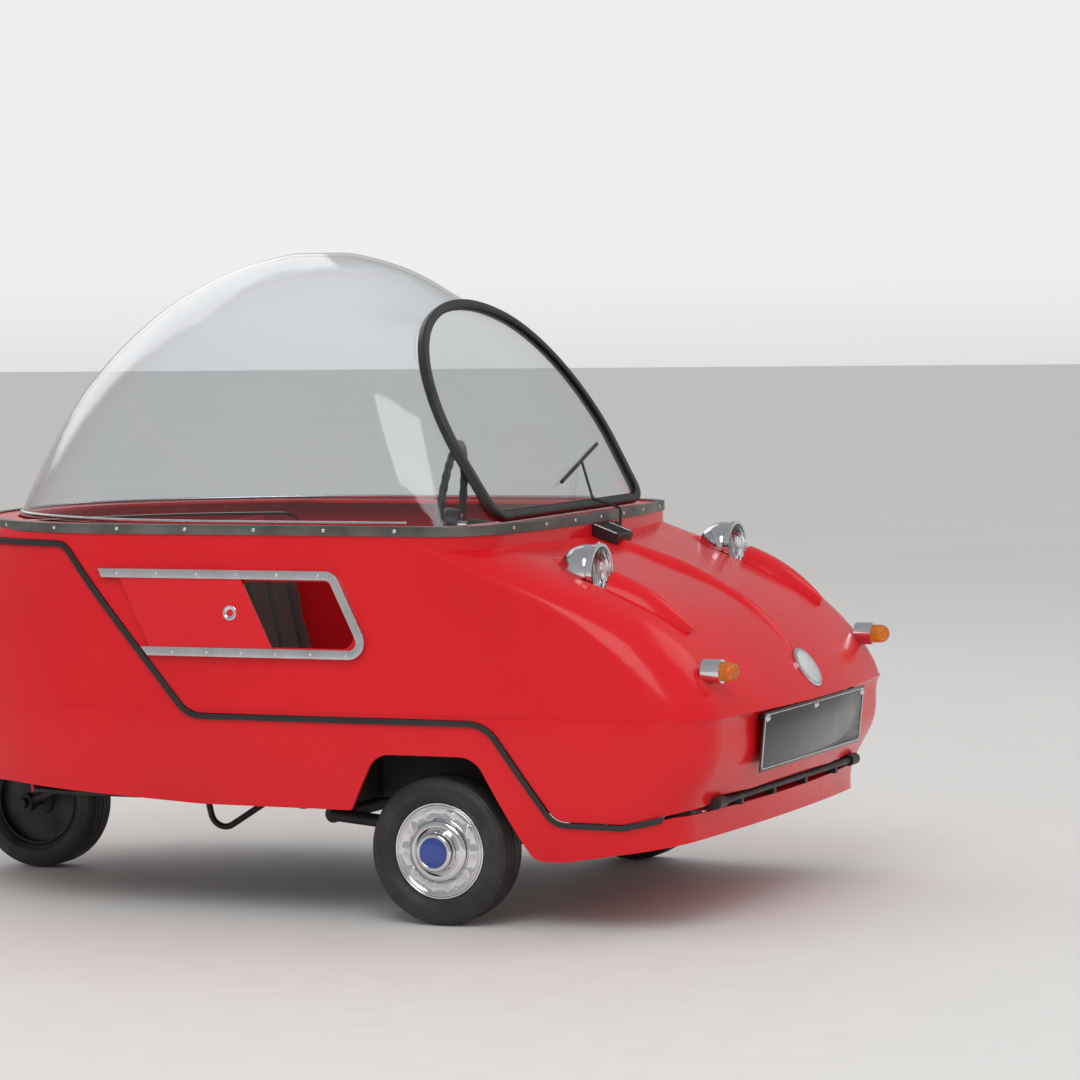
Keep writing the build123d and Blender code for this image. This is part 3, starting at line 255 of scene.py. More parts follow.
def soften(points, cut, steps=3, closed=False):
    """Round the corners of a line of points, each by at most a given length."""
    made = []
    count = len(points)
    for number, point in enumerate(points):
        if not closed and number in (0, count - 1):
            made.append(tuple(point))
            continue
        here = Vector(point)
        before, after = Vector(points[number - 1]), Vector(points[(number + 1) % count])
        near = min(cut, (before - here).length * 0.45, (after - here).length * 0.45)
        start = here + (before - here).normalized() * near
        end = here + (after - here).normalized() * near
        for step in range(steps + 1):
            t = step / steps
            made.append(tuple(start * (1 - t) ** 2 + here * 2 * t * (1 - t) + end * t ** 2))
    return made


def add_tube(builder, points, radius, sides=10, closed=False):
    """Round bar along a line of points, with flat ends unless it is closed."""
    line = [Vector(point) for point in points]
    count = len(line)
    rings, normal = [], None
    for number, point in enumerate(line):
        if closed:
            ahead = line[(number + 1) % count] - line[number - 1]
        else:
            ahead = line[min(number + 1, count - 1)] - line[max(number - 1, 0)]
        ahead.normalize()
        if normal is None:
            normal = ahead.orthogonal().normalized()
        normal = (normal - ahead * normal.dot(ahead)).normalized()
        side = ahead.cross(normal)
        here = radius[number] if isinstance(radius, (list, tuple)) else radius
        rings.append([builder.verts.new(point + (normal * math.cos(2 * math.pi * k / sides)
                                                 + side * math.sin(2 * math.pi * k / sides))
                                        * here) for k in range(sides)])
    pairs = list(zip(rings, rings[1:]))
    if closed:
        pairs.append((rings[-1], rings[0]))
    for lower, upper in pairs:
        add_ring_faces(builder, lower, upper, sides)
    if not closed:
        builder.faces.new(rings[0])
        builder.faces.new(list(reversed(rings[-1])))


def add_plate(builder, outline, thickness, place, edge=0.0):
    """Flat plate from an outline in XY, raised along Z, with a small chamfer."""
    levels = [(0.0, 0.0), (1.0, 0.0)]
    if edge:
        levels = [(0.0, 1.0), (edge / thickness, 0.0), (1 - edge / thickness, 0.0), (1.0, 1.0)]
    middle = sum((Vector((x, y, 0)) for x, y in outline), Vector()) / len(outline)
    rings = []
    for share, pull in levels:
        ring = []
        for x, y in outline:
            point = Vector((x, y, 0))
            point -= (point - middle).normalized() * edge * pull
            point.z = share * thickness
            ring.append(builder.verts.new(place @ point))
        rings.append(ring)
    for lower, upper in zip(rings, rings[1:]):
        add_ring_faces(builder, lower, upper, len(outline))
    builder.faces.new(list(reversed(rings[0])))
    builder.faces.new(rings[-1])


def box_outline(wide, tall, corner, steps=4):
    """Rounded rectangle about the origin."""
    points = []
    for quarter, (sx, sy) in enumerate(((1, 1), (-1, 1), (-1, -1), (1, -1))):
        for step in range(steps + 1):
            turn = math.pi / 2 * (quarter + step / steps)
            points.append((sx * (wide / 2 - corner) + corner * math.cos(turn),
                           sy * (tall / 2 - corner) + corner * math.sin(turn)))
    return points


def touch(node, origin, direction):
    """Where a line from outside first meets a node, and the surface normal there."""
    found, place, normal, _ = frame["nodes"][node].ray_cast(Vector(origin), Vector(direction))
    if not found:
        raise RuntimeError("nothing of " + node + " is met from " + str(tuple(origin)))
    return place, normal


def add_screw(builder, place, normal, radius=0.0035, height=0.0016, slot_turn=0.0):
    """Round headed slotted screw on a surface."""
    base = axis_frame(place, normal)
    slot = radius * 0.16
    profile = [(radius, -height * 0.4), (radius, height * 0.25), (radius * 0.8, height * 0.7),
               (radius * 0.45, height * 0.95), (0, height)]

    def dip(number, turn, r, z):
        """Press the slot into the head."""
        if number > 1 and abs(math.sin(turn - slot_turn) * r) < slot:
            return r, z - height * 0.35
        return r, z

    lathe(builder, profile, 20, base, ripple=dip)


# Materials


def add_node(tree, kind, values=None, fed=None):
    """New shader node with plain values and links on its inputs."""
    node = tree.nodes.new("ShaderNode" + kind)
    for name, value in (values or {}).items():
        node.inputs[name].default_value = value
    for name, output in (fed or {}).items():
        tree.links.new(output, node.inputs[name])
    return node


def combine(tree, operation, one, other):
    """Sum or difference of two values, kept between 0 and 1."""
    node = add_node(tree, "Math", fed={0: one, 1: other})
    node.operation = operation
    node.use_clamp = True
    return node.outputs["Value"]


class Finish:
    """A material in the making, with its shader and a place on the piece in metres."""

    def __init__(self, name, values=None):
        """Start with plain values on the shader's inputs."""
        FINISHES[name] = bpy.data.materials.new(name)
        FINISHES[name].use_nodes = True
        self.tree = FINISHES[name].node_tree
        self.shader = self.tree.nodes["Principled BSDF"]
        self.spot = add_node(self.tree, "TexCoord").outputs["Object"]
        for label, value in (values or {}).items():
            self.shader.inputs[label].default_value = value

    def feed(self, label, output):
        """Drive an input of the shader."""
        self.tree.links.new(output, self.shader.inputs[label])

    def noise(self, scale, detail=3.0, stretch=(1, 1, 1)):
        """Soft random field, stretched along an axis where the surface is drawn or brushed."""
        mapping = add_node(self.tree, "Mapping", {"Scale": stretch}, {"Vector": self.spot})
        noise = add_node(self.tree, "TexNoise", {"Scale": scale, "Detail": detail},
                         {"Vector": mapping.outputs["Vector"]})
        return noise.outputs["Fac"]

    def tint(self, scale, dark, light):
        """Colour that runs between two tints along a soft field."""
        ramp = add_node(self.tree, "ValToRGB", fed={"Fac": self.noise(scale)})
        for stop, place, tone in zip(ramp.color_ramp.elements, FIELD_MIDDLE, (dark, light)):
            stop.position = place
            stop.color = (*tone, 1)
        return ramp.outputs["Color"]

    def gloss(self, field, rough):
        """Roughness that runs between two values along the middle of a field."""
        ranged = add_node(self.tree, "MapRange",
                          {"From Min": FIELD_MIDDLE[0], "From Max": FIELD_MIDDLE[1],
                           "To Min": rough[0], "To Max": rough[1]}, {"Value": field})
        self.feed("Roughness", ranged.outputs["Result"])

    def bump(self, field, depth, strength=1.0, below=None):
        """Raise the surface by a field, over any bump that is there already."""
        bump = add_node(self.tree, "Bump", {"Distance": depth, "Strength": strength},
                        {"Height": field})
        if below:
            self.tree.links.new(below, bump.inputs["Normal"])
        self.feed("Normal", bump.outputs["Normal"])
        return bump.outputs["Normal"]


def make_finish(name, dark, light, rough, metal=0.0, coat=0.0, mottle=6.0, smudge=14.0,
                grain=900.0, grain_depth=0.00002, wave=0.0, stretch=(1, 1, 1), gleam=0.5):
    """Opaque finish: two close tints, uneven gloss, fine grain and a slow wave."""
    made = Finish(name, {"Metallic": metal, "Coat Weight": coat, "Coat Roughness": 0.04,
                         "Specular IOR Level": gleam})
    made.feed("Base Color", made.tint(mottle, dark, light))
    made.gloss(made.noise(smudge, 5.0, stretch), rough)
    slow = made.bump(made.noise(7.0, 1.0), wave) if wave else None
    made.bump(made.noise(grain, 2.0, stretch), grain_depth, 1.0, slow)


def make_clear(name, tint, rough, ior, flutes, weight=1.0):
    """Clear lens with faint wipe marks and moulded flutes."""
    made = Finish(name, {"Transmission Weight": weight, "IOR": ior})
    made.feed("Base Color", made.tint(4.0, tint, tuple(min(1.0, c * 1.02) for c in tint)))
    made.gloss(made.noise(*WIPE_MARKS), rough)
    ribs = add_node(made.tree, "TexWave", {"Scale": flutes}, {"Vector": made.spot})
    ribs.bands_direction = "Y"
    made.bump(ribs.outputs["Fac"], 0.0009)


def make_thin_sheet(name, tint, rough):
    """Thin clear sheet: light goes straight through, and its faces mirror at a slant."""
    made = Finish(name, {"Metallic": 1.0, "Base Color": (1, 1, 1, 1)})
    made.gloss(made.noise(*WIPE_MARKS), rough)
    tone = made.tint(4.0, tint, tuple(min(1.0, c * 1.01) for c in tint))
    clear = add_node(made.tree, "BsdfTransparent", fed={"Color": tone})
    slant = add_node(made.tree, "LayerWeight", {"Blend": 0.5})
    steep = add_node(made.tree, "Math", {1: SLANT_POWER}, {0: slant.outputs["Facing"]})
    steep.operation = "POWER"
    share = add_node(made.tree, "MapRange", {"To Min": FACE_ON_MIRROR},
                     {"Value": steep.outputs["Value"]})
    mix = add_node(made.tree, "MixShader", fed={0: share.outputs["Result"],
                                                1: clear.outputs["BSDF"],
                                                2: made.shader.outputs["BSDF"]})
    made.tree.links.new(mix.outputs["Shader"],
                        made.tree.nodes["Material Output"].inputs["Surface"])


def make_leathercloth(name, dark, light):
    """Grained black leathercloth: pebbled bump, soft sheen and rubbed high spots."""
    made = Finish(name, {"Sheen Weight": 0.15})
    made.feed("Base Color", made.tint(9.0, dark, light))
    made.gloss(made.noise(22.0, 4.0), (0.38, 0.58))
    pebble = add_node(made.tree, "TexVoronoi", {"Scale": 520.0}, {"Vector": made.spot})
    made.bump(pebble.outputs["Distance"], 0.00035, 0.8)


def make_moulding(name, dark, light):
    """Rough inside of the moulding: strands of glass mat under the resin."""
    made = Finish(name)
    made.feed("Base Color", made.tint(12.0, dark, light))
    strands = add_node(made.tree, "TexVoronoi", {"Scale": 90.0}, {"Vector": made.spot})
    strands.feature = "DISTANCE_TO_EDGE"
    made.gloss(strands.outputs["Distance"], (0.35, 0.6))
    made.bump(strands.outputs["Distance"], 0.0012, 0.6)


# What a user would change


def tint_setting(label, text, value):
    """A colour."""
    return bpy.props.FloatVectorProperty(name=label, description=text, subtype="COLOR", size=3,
                                         default=value, min=0, max=1)


def length_setting(label, text, value, least, most):
    """A length in metres."""
    return bpy.props.FloatProperty(name=label, description=text, unit="LENGTH", default=value,
                                   min=least, max=most)


def count_setting(label, text, value, least, most):
    """A number of equal things."""
    return bpy.props.IntProperty(name=label, description=text, default=value, min=least,
                                 max=most)


def power_setting(label, text, value):
    """Power of a light in watts."""
    return bpy.props.FloatProperty(name=label, description=text, unit="POWER", default=value,
                                   min=0)


class CarFinishes(bpy.types.PropertyGroup):
    """Main colours of the car."""

    body: tint_setting("Body", "Colour of the moulded body", (0.76, 0.010, 0.018))
    boss: tint_setting("Wheel centre", "Plain enamel disc in each hub cap",
                       (0.012, 0.045, 0.26))
    amber: tint_setting("Indicator lens", "Colour of the front indicators", (0.86, 0.26, 0.02))
    floor: tint_setting("Floor", "Colour of the studio floor", (0.78, 0.77, 0.75))


class CarDetails(bpy.types.PropertyGroup):
    """Sizes of the small pieces."""

    screw_radius: length_setting("Trim screw", "Radius of a trim screw's head", 0.0036, 0.001,
                                 0.01)
    screw_pitch: length_setting("Screw pitch", "Distance between screws of the rim strip", 0.15,
                                0.05, 0.5)
    tread_depth: length_setting("Tread depth", "Depth of the tyre grooves", 0.0045, 0.0, 0.008)
    tread_pitch: count_setting("Tread pitch", "Zigzags of a groove round the tyre", 44, 8, 90)
    pad_swell: length_setting("Pad swell", "Most that a seat pad swells", 0.014, 0.0, 0.03)
    pad_channels: count_setting("Seat channels", "Sewn channels across a seat pad", 9, 1, 20)


class StudioSettings(bpy.types.PropertyGroup):
    """Light and floor round the car."""

    key_power: power_setting("Key light", "Power of the large soft light", 95.0)
    fill_power: power_setting("Fill light", "Power of the light on the far side", 30.0)
    sky_level: bpy.props.FloatProperty(
        name="Sky level", description="Strength of the even light", default=0.72, min=0, max=2)


def colours():
    """The colours that the user has set."""
    return bpy.context.scene.microcar_finishes


def details():
    """The small sizes that the user has set."""
    return bpy.context.scene.microcar_details


class MICROCAR_OT_finishes(bpy.types.Operator):
    """Make every material of the car and give the carried pieces theirs"""

    bl_idname = "microcar.finishes"
    bl_label = "Finishes"

    def execute(self, context):
        """Build the materials and assign them to the model's nodes."""
        red = tuple(colours().body)
        deep = tuple(c * 0.88 for c in red)
        amber = tuple(colours().amber)
        boss = tuple(colours().boss)
        make_finish("gel_red", deep, red, (0.2, 0.3), coat=0.22, mottle=2.2, grain=420.0,
                    grain_depth=0.000012, wave=0.0008, gleam=0.22)
        make_finish("sheet_red", deep, red, (0.22, 0.32), coat=0.3, mottle=3.0, grain=500.0,
                    gleam=0.3)
        make_finish("under_coat", (0.014, 0.013, 0.012), (0.034, 0.031, 0.028), (0.6, 0.85),
                    mottle=9.0, grain=160.0, grain_depth=0.0006)
        make_finish("edge_strip", (0.13, 0.125, 0.12), (0.24, 0.23, 0.22), (0.34, 0.55),
                    metal=0.9, mottle=14.0, grain=500.0, stretch=(0.05, 1, 1))
        make_finish("mat_rubber", (0.02, 0.02, 0.021), (0.045, 0.044, 0.043), (0.55, 0.8),
                    mottle=11.0, grain=320.0, grain_depth=0.0003)
        make_finish("rubber", (0.012, 0.012, 0.013), (0.024, 0.024, 0.026), (0.3, 0.5),
                    grain=700.0, grain_depth=0.00008)
        make_finish("tyre_rubber", (0.016, 0.016, 0.016), (0.036, 0.034, 0.032), (0.42, 0.68),
                    mottle=18.0, smudge=30.0, grain=900.0, grain_depth=0.00012)
        make_finish("polished_strip", (0.62, 0.62, 0.64), (0.76, 0.76, 0.78), (0.16, 0.34),
                    metal=1.0, mottle=25.0, grain=500.0, stretch=(0.04, 1, 1))
        make_finish("chrome", (0.72, 0.73, 0.75), (0.82, 0.83, 0.85), (0.03, 0.1), metal=1.0,
                    mottle=10.0, smudge=9.0, grain=120.0, grain_depth=0.00001)
        make_finish("plate_paint", (0.008, 0.008, 0.009), (0.016, 0.016, 0.017), (0.18, 0.34),
                    coat=0.5, mottle=12.0)
        make_finish("black_plastic", (0.012, 0.012, 0.013), (0.022, 0.022, 0.024),
                    (0.28, 0.45), grain=1200.0, grain_depth=0.00006)
        make_finish("painted_steel", (0.018, 0.018, 0.02), (0.05, 0.046, 0.042), (0.35, 0.62),
                    metal=0.3, mottle=16.0, smudge=20.0, grain=300.0, grain_depth=0.0001)
        make_finish("cast_metal", (0.2, 0.2, 0.2), (0.34, 0.33, 0.32), (0.4, 0.65), metal=0.9,
                    mottle=20.0, grain=260.0, grain_depth=0.0003)
        make_finish("heated_steel", (0.16, 0.12, 0.09), (0.38, 0.33, 0.28), (0.3, 0.6),
                    metal=1.0, mottle=7.0, grain=300.0, grain_depth=0.0001)
        make_finish("enamel", boss, tuple(min(1, c * 1.2) for c in boss), (0.1, 0.2),
                    coat=0.8, mottle=30.0)
        make_finish("pad_rubber", (0.015, 0.015, 0.015), (0.03, 0.03, 0.03), (0.5, 0.75),
                    grain=400.0, grain_depth=0.0002)
        make_thin_sheet("acrylic", (0.965, 0.978, 0.985), (0.02, 0.06))
        make_thin_sheet("pane", (0.955, 0.972, 0.968), (0.02, 0.05))
        make_clear("lamp_glass", (0.94, 0.95, 0.96), (0.02, 0.08), 1.5, 22.0)
        make_clear("nose_glass", (0.80, 0.82, 0.83), (0.05, 0.14), 1.5, 26.0, weight=0.3)
        make_clear("amber_lens", amber, (0.06, 0.16), 1.49, 60.0, weight=0.55)
        make_clear("red_lens", (0.55, 0.012, 0.012), (0.06, 0.16), 1.49, 60.0, weight=0.55)
        make_leathercloth("leathercloth", (0.02, 0.019, 0.018), (0.042, 0.04, 0.038))
        make_moulding("rough_moulding", tuple(c * 0.5 for c in red),
                      tuple(c * 0.72 for c in red))
        by_slot = {"body_red": "gel_red", "hatch_red": "sheet_red", "black_rubber": "rubber",
                   "bright_trim": "polished_strip", "clear_acrylic": "acrylic",
                   "pane_glass": "pane", "lamp_glass": "lamp_glass", "chrome": "chrome",
                   "amber": "amber_lens", "lamp_red": "red_lens", "black_plate": "plate_paint",
                   "black_plastic": "black_plastic", "inner_moulding": "rough_moulding",
                   "dark_steel": "painted_steel", "engine_metal": "cast_metal",
                   "exhaust_steel": "heated_steel", "tyre": "tyre_rubber",
                   "seat_trim": "leathercloth"}
        by_node = {"floor_pan": "under_coat", "rim_strip": "edge_strip",
                   "wiper": "painted_steel", "nose_lamp_glass": "nose_glass"}
        for part in frame["record"]["subparts"]:
            node = frame["nodes"][part["node"]]
            node.data.materials.clear()
            finish = by_node.get(part["node"], by_slot[part["material_slot"]])
            node.data.materials.append(FINISHES[finish])
        return {"FINISHED"}


class MICROCAR_OT_body(bpy.types.Operator):
    """Give the moulded body, its strips and glass their smooth surfaces and rounded edges"""

    bl_idname = "microcar.body"
    bl_label = "Body and trim"

    def execute(self, context):
        """Smooth the carried nodes and round the edges of the rubber and metal strips."""
        for node in frame["nodes"].values():
            smooth(node.data, SMOOTH_BODY)
        for name, width in ROUNDING.items():
            node = frame["nodes"][name]
            weld = node.modifiers.new("join", "WELD")
            weld.merge_threshold = WELD_DISTANCE
            bevel = node.modifiers.new("round", "BEVEL")
            bevel.width = width
            bevel.segments = 3
            bevel.limit_method = "ANGLE"
            bevel.angle_limit = math.radians(ROUND_FROM)
        self.add_bead()
        return {"FINISHED"}

    def add_bead(self):
        """Bright bead along the dome's foot, round the sides and back of the cockpit."""
        line = []
        middle = Vector((BEAD_MIDDLE, 0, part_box("rim_strip")[1].z + 0.0035))
        for number in range(BEAD_STEPS + 1):
            turn = math.radians(BEAD_FREE + (360 - 2 * BEAD_FREE) * number / BEAD_STEPS)
            away = Vector((math.cos(turn), math.sin(turn), 0))
            found, place, _, _ = frame["nodes"]["dome"].ray_cast(middle + away * 2, -away)
            if found and place.x < BEAD_FRONT and (place - middle).dot(away) > 0:
                line.append(place + away * 0.0012)
        builder = bmesh.new()
        add_tube(builder, line, BEAD_RADIUS, 8)
        add_made("dome_bead", builder, "polished_strip", "upper_body", 60)


class MICROCAR_OT_screws(bpy.types.Operator):
    """Add the trim screws of the rim strip, the side windows and the plate"""

    bl_idname = "microcar.screws"
    bl_label = "Trim screws"

    def execute(self, context):
        """Find each place on its strip and put a slotted screw there."""
        radius, pitch = details().screw_radius, details().screw_pitch
        low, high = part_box("rim_strip")
        height = high.z - SCREW_DROP
        builder = bmesh.new()
        count = int((high.x - low.x) / pitch)
        for number in range(1, count):
            x = low.x + STRIP_END + number * (high.x - low.x - 2 * STRIP_END) / count
            for side in (-1, 1):
                spot = touch("rim_strip", (x, side * 0.6, height), (0, -side, 0))
                add_screw(builder, *spot, radius, slot_turn=number * 1.3)
        for number in range(-3, 4):
            y = number * pitch * 0.75
            for end, turn in ((1, 0.9), (-1, 0.7)):
                spot = touch("rim_strip", (end, y, height), (-end, 0, 0))
                add_screw(builder, *spot, radius, slot_turn=number * turn)
        add_made("rim_screws", builder, "chrome", "upper_body")
        self.add_window_screws()
        self.add_plate_trim()
        self.add_vent_trim()
        return {"FINISHED"}

    def add_vent_trim(self):
        """Ribs over the vent and a bright strip with a screw on each of its ends."""
        low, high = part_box("vent_scoop")

        def along(y):
            """Line over the vent's top, from rear to front."""
            line = []
            for number in range(7):
                x = low.x + VENT_END + (high.x - low.x - 2 * VENT_END) * number / 6
                line.append(touch("vent_scoop", (x, y, high.z + 0.1), (0, 0, -1))[0])
            return line

        builder = bmesh.new()
        for number in range(-3, 4):
            add_tube(builder, along(number * VENT_PITCH * 0.995 + 0.0001), 0.0014, 8)
        add_made("vent_ribs", builder, "black_plastic", "upper_body", 60)
        builder = bmesh.new()
        for side in (-1, 1):
            line = along(side * (high.y - 0.0022))
            add_tube(builder, line, 0.0021, 8)
            add_screw(builder, line[1] + Vector((0, 0, 0.0012)), (0, 0, 1), 0.0026, 0.0016)
        add_made("vent_strips", builder, "chrome", "upper_body", 60)

    def add_window_screws(self):
        """Small screws along both rails of each side window, and a pull on each hatch."""
        builder = bmesh.new()
        low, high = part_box("window_channels")
        for side in (-1, 1):
            for height, first, last in ((high.z - SCREW_DROP, -0.270, 0.14),
                                        (low.z + SCREW_DROP, -0.150, 0.20)):
                for number in range(6):
                    x = first + (last - first) * number / 5
                    spot = touch("window_channels", (x, side * 0.7, height), (0, -side, 0))
                    add_screw(builder, *spot, 0.0026, 0.0012, number * 1.1)
        add_made("window_screws", builder, "chrome", "upper_body")
        x, y, z = HATCH_PULL_PLACE
        for side, name in ((-1, "right"), (1, "left")):
            builder = bmesh.new()
            spot = touch("window_hatch_" + name, (x, side * y, z), (0, -side, 0))
            lathe(builder, HATCH_PULL, 32, axis_frame(*spot))
            add_made("hatch_pull_" + name, builder, "chrome", "hatch_" + name, 50)

    def add_plate_trim(self):
        """Pressed bead round the blank plate and its three domed bolts."""
        low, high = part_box("number_plate")
        size = high - low
        line = []
        for y, z in box_outline(size.y - 2 * PLATE_INSET, size.z - 2 * PLATE_INSET, 0.008):
            place, normal = touch("number_plate", (1.1, y, (low.z + high.z) / 2 + z),
                                  (-1, 0, 0))
            line.append(place + normal * 0.0002)
        builder = bmesh.new()
        add_tube(builder, line, 0.0014, 8, True)
        add_made("plate_bead", builder, "polished_strip", "upper_body", 60)
        builder = bmesh.new()
        for y in PLATE_BOLTS:
            spot = touch("number_plate", (1.1, y, high.z - PLATE_BOLT_DROP), (-1, 0, 0))
            lathe(builder, BOLT_HEAD, 20, axis_frame(*spot))
        add_made("plate_bolts", builder, "chrome", "upper_body", 40)


def tyre_profile():
    """Closed section of a tyre from bead to bead: radius, distance across, groove share."""
    tread = []
    for across in (0.0300, 0.0170, 0.0045):
        crown = 0.0006 * (0.03 - across) / 0.03
        tread += [(0.1312 + crown, across, 0), (0.1312 + crown, across - 0.0008, 0),
                  (0.1312, across - 0.0012, 1), (0.1312, across - 0.0030, 1),
                  (0.1314 + crown, across - 0.0034, 0), (0.1318 + crown, across - 0.0080, 0)]
    right = [(radius, across, 0) for radius, across in TYRE_HALF] + tread[:-1]
    return right + [(r, -a, g) for r, a, g in reversed(right)]


class MICROCAR_OT_wheels(bpy.types.Operator):
    """Model the tyres with their tread, the chromed wheels and the hub caps"""

    bl_idname = "microcar.wheels"
    bl_label = "Wheels"

    def execute(self, context):
        """Build three tyres, two hub caps with enamel discs and the rim details."""
        depth, pitch = details().tread_depth, details().tread_pitch
        section = tyre_profile()

        def tread(number, turn, radius, along):
            """Sink the grooves and let them zigzag."""
            groove = section[number][2]
            wave = abs((turn * pitch / (2 * math.pi)) % 1.0 - 0.5) * 4 - 1
            if radius > TREAD_FROM:
                along += TREAD_SWAY * wave
            return radius - depth * groove, along

        for name, (x, y, side) in WHEELS.items():
            place = axis_frame((x, y, TYRE_RADIUS), (0, side, 0))
            body = "wheel_" + name
            builder = bmesh.new()
            lathe(builder, [(r, a) for r, a, _ in section], pitch * 4, place, True, tread)
            add_made("tyre_" + name + "_tread", builder, "tyre_rubber", body, 28,
                     ["tyre_" + name])
            builder = bmesh.new()
            for lip in (-RIM_HALF, RIM_HALF):
                ring = [(RIM_RADIUS + RIM_ROLL * math.cos(2 * math.pi * k / 10),
                         lip + RIM_ROLL * math.sin(2 * math.pi * k / 10)) for k in range(10)]
                lathe(builder, ring, 96, place, True)
            finish = "painted_steel" if name == "rear" else "chrome"
            add_made("rim_lips_" + name, builder, finish, body, 60)
            if name != "rear":
                self.add_cap(body, name.replace("front_", ""), place)
        return {"FINISHED"}

    def add_cap(self, body, side, place):
        """Chromed cap with rolled edge, stepped dish, raised fields and enamel disc."""
        inner, outer = RELIEF_RADII

        def relief(number, turn, radius, along):
            """Low embossed fields round the dish."""
            if inner < radius < outer and along > 0.0285:
                along += RELIEF_HEIGHT * max(0.0, math.cos(turn * RELIEF_FIELDS)) ** 0.5
            return radius, along

        builder = bmesh.new()
        lathe(builder, soften(CAP_FACE, 0.0015, 2) + CAP_BACK, 128, place, False, relief)
        add_made("hub_cap_" + side + "_chromed", builder, "chrome", body, 60,
                 ["hub_cap_" + side])
        builder = bmesh.new()
        lathe(builder, CAP_DISC, 64, place)
        add_made("wheel_disc_" + side, builder, "enamel", body)


class MICROCAR_OT_lamps(bpy.types.Operator):
    """Add the reflectors, bulbs and screws of the lamps"""

    bl_idname = "microcar.lamps"
    bl_label = "Lamps"

    def execute(self, context):
        """Put a reflector and bulb in each headlamp and a screw on its band."""
        x, y, z = LAMP_CENTRE
        for side, name in ((-1, "right"), (1, "left")):
            place = axis_frame((x, side * y, z), (1, 0, 0))
            builder = bmesh.new()
            inner = [(radius * 0.97, along + 0.0009) for radius, along in REFLECTOR]
            lathe(builder, REFLECTOR + inner[::-1], 48, place)
            add_made("reflector_" + name, builder, "chrome", "upper_body")
            builder = bmesh.new()
            lathe(builder, BULB, 24, place)
            add_made("bulb_" + name, builder, "lamp_glass", "upper_body")
            builder = bmesh.new()
            spot = touch("headlamp_bowls", (x + 0.009, side * y, 0.75), (0, 0, -1))
            add_screw(builder, *spot, 0.0032, 0.003)
            add_made("lamp_screw_" + name, builder, "chrome", "upper_body")
        return {"FINISHED"}


class MICROCAR_OT_seat(bpy.types.Operator):
    """Model the bench cushion and backrest with their sewn channels"""

    bl_idname = "microcar.seat"
    bl_label = "Seat"

    def execute(self, context):
        """Swell each pad and press its channels."""
        for name in ("seat_cushion", "seat_backrest"):
            pad = self.start_pad(name)
            remesh = pad.modifiers.new("remesh", "REMESH")
            remesh.mode = "VOXEL"
            remesh.voxel_size = VOXEL
            self.settle(context, pad)
            self.swell(context, pad)
            finer = pad.modifiers.new("finer", "SUBSURF")
            finer.levels = finer.render_levels = 1
            self.settle(context, pad)
            self.sew(pad, name)
            smooth(pad.data, 60)
        return {"FINISHED"}

    def settle(self, context, pad):
        """Apply the pad's modifiers to its mesh."""
        graph = context.evaluated_depsgraph_get()
        mesh = bpy.data.meshes.new_from_object(pad.evaluated_get(graph), depsgraph=graph)
        mesh.materials.clear()
        mesh.materials.append(FINISHES["leathercloth"])
        pad.modifiers.clear()
        pad.data = mesh

    def start_pad(self, name):
        """Closed block a little smaller than the model's pad, with welded corners."""
        mesh = frame["nodes"][name].data.copy()
        builder = bmesh.new()
        builder.from_mesh(mesh)
        bmesh.ops.remove_doubles(builder, verts=builder.verts, dist=WELD_DISTANCE)
        points = [v.co for v in builder.verts]
        low = Vector([min(p[k] for p in points) for k in range(3)])
        high = Vector([max(p[k] for p in points) for k in range(3)])
        middle, size = (low + high) / 2, high - low
        for vert in builder.verts:
            for k in range(3):
                share = 1 - 2 * PAD_INSET / size[k]
                vert.co[k] = middle[k] + (vert.co[k] - middle[k]) * share
        builder.to_mesh(mesh)
        builder.free()
        return add_piece(name + "_pad", mesh, "leathercloth", "chassis", [name])

    def swell(self, context, pad):
        """Blow the pad up with the cloth solver and hold back what went too far."""
        start = [v.co.copy() for v in pad.data.vertices]
        cloth = pad.modifiers.new("swell", "CLOTH")
        cloth.settings.use_pressure = True
        cloth.settings.uniform_pressure_force = SWELL_PRESSURE
        cloth.settings.effector_weights.gravity = 0.0
        cloth.settings.quality = 4
        for step in range(1, SWELL_STEPS + 1):
            context.scene.frame_set(step)
        self.settle(context, pad)
        context.scene.frame_set(1)
        most = details().pad_swell
        for vert, first in zip(pad.data.vertices, start):
            moved = vert.co - first
            if moved.length > most:
                vert.co = first + moved * (most / moved.length)

    def sew(self, pad, name):
        """Press the channels that run along the pad and keep it off what it rests on."""
        low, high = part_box(name)
        count = details().pad_channels
        pitch = (high.y - low.y) / count
        mesh = pad.data
        for vert, normal in zip(mesh.vertices, [n.vector.copy() for n in mesh.vertex_normals]):
            along = (vert.co.y - low.y) / pitch
            gap = abs(along - round(along)) * pitch
            inner = min(vert.co.y - low.y, high.y - vert.co.y) > pitch / 2
            if inner:
                vert.co -= normal * CHANNEL_DEPTH * math.exp(-(gap / CHANNEL_DEPTH) ** 2)
            for k in range(3):
                vert.co[k] = min(max(vert.co[k], low[k] + MARGIN), high[k] - MARGIN)


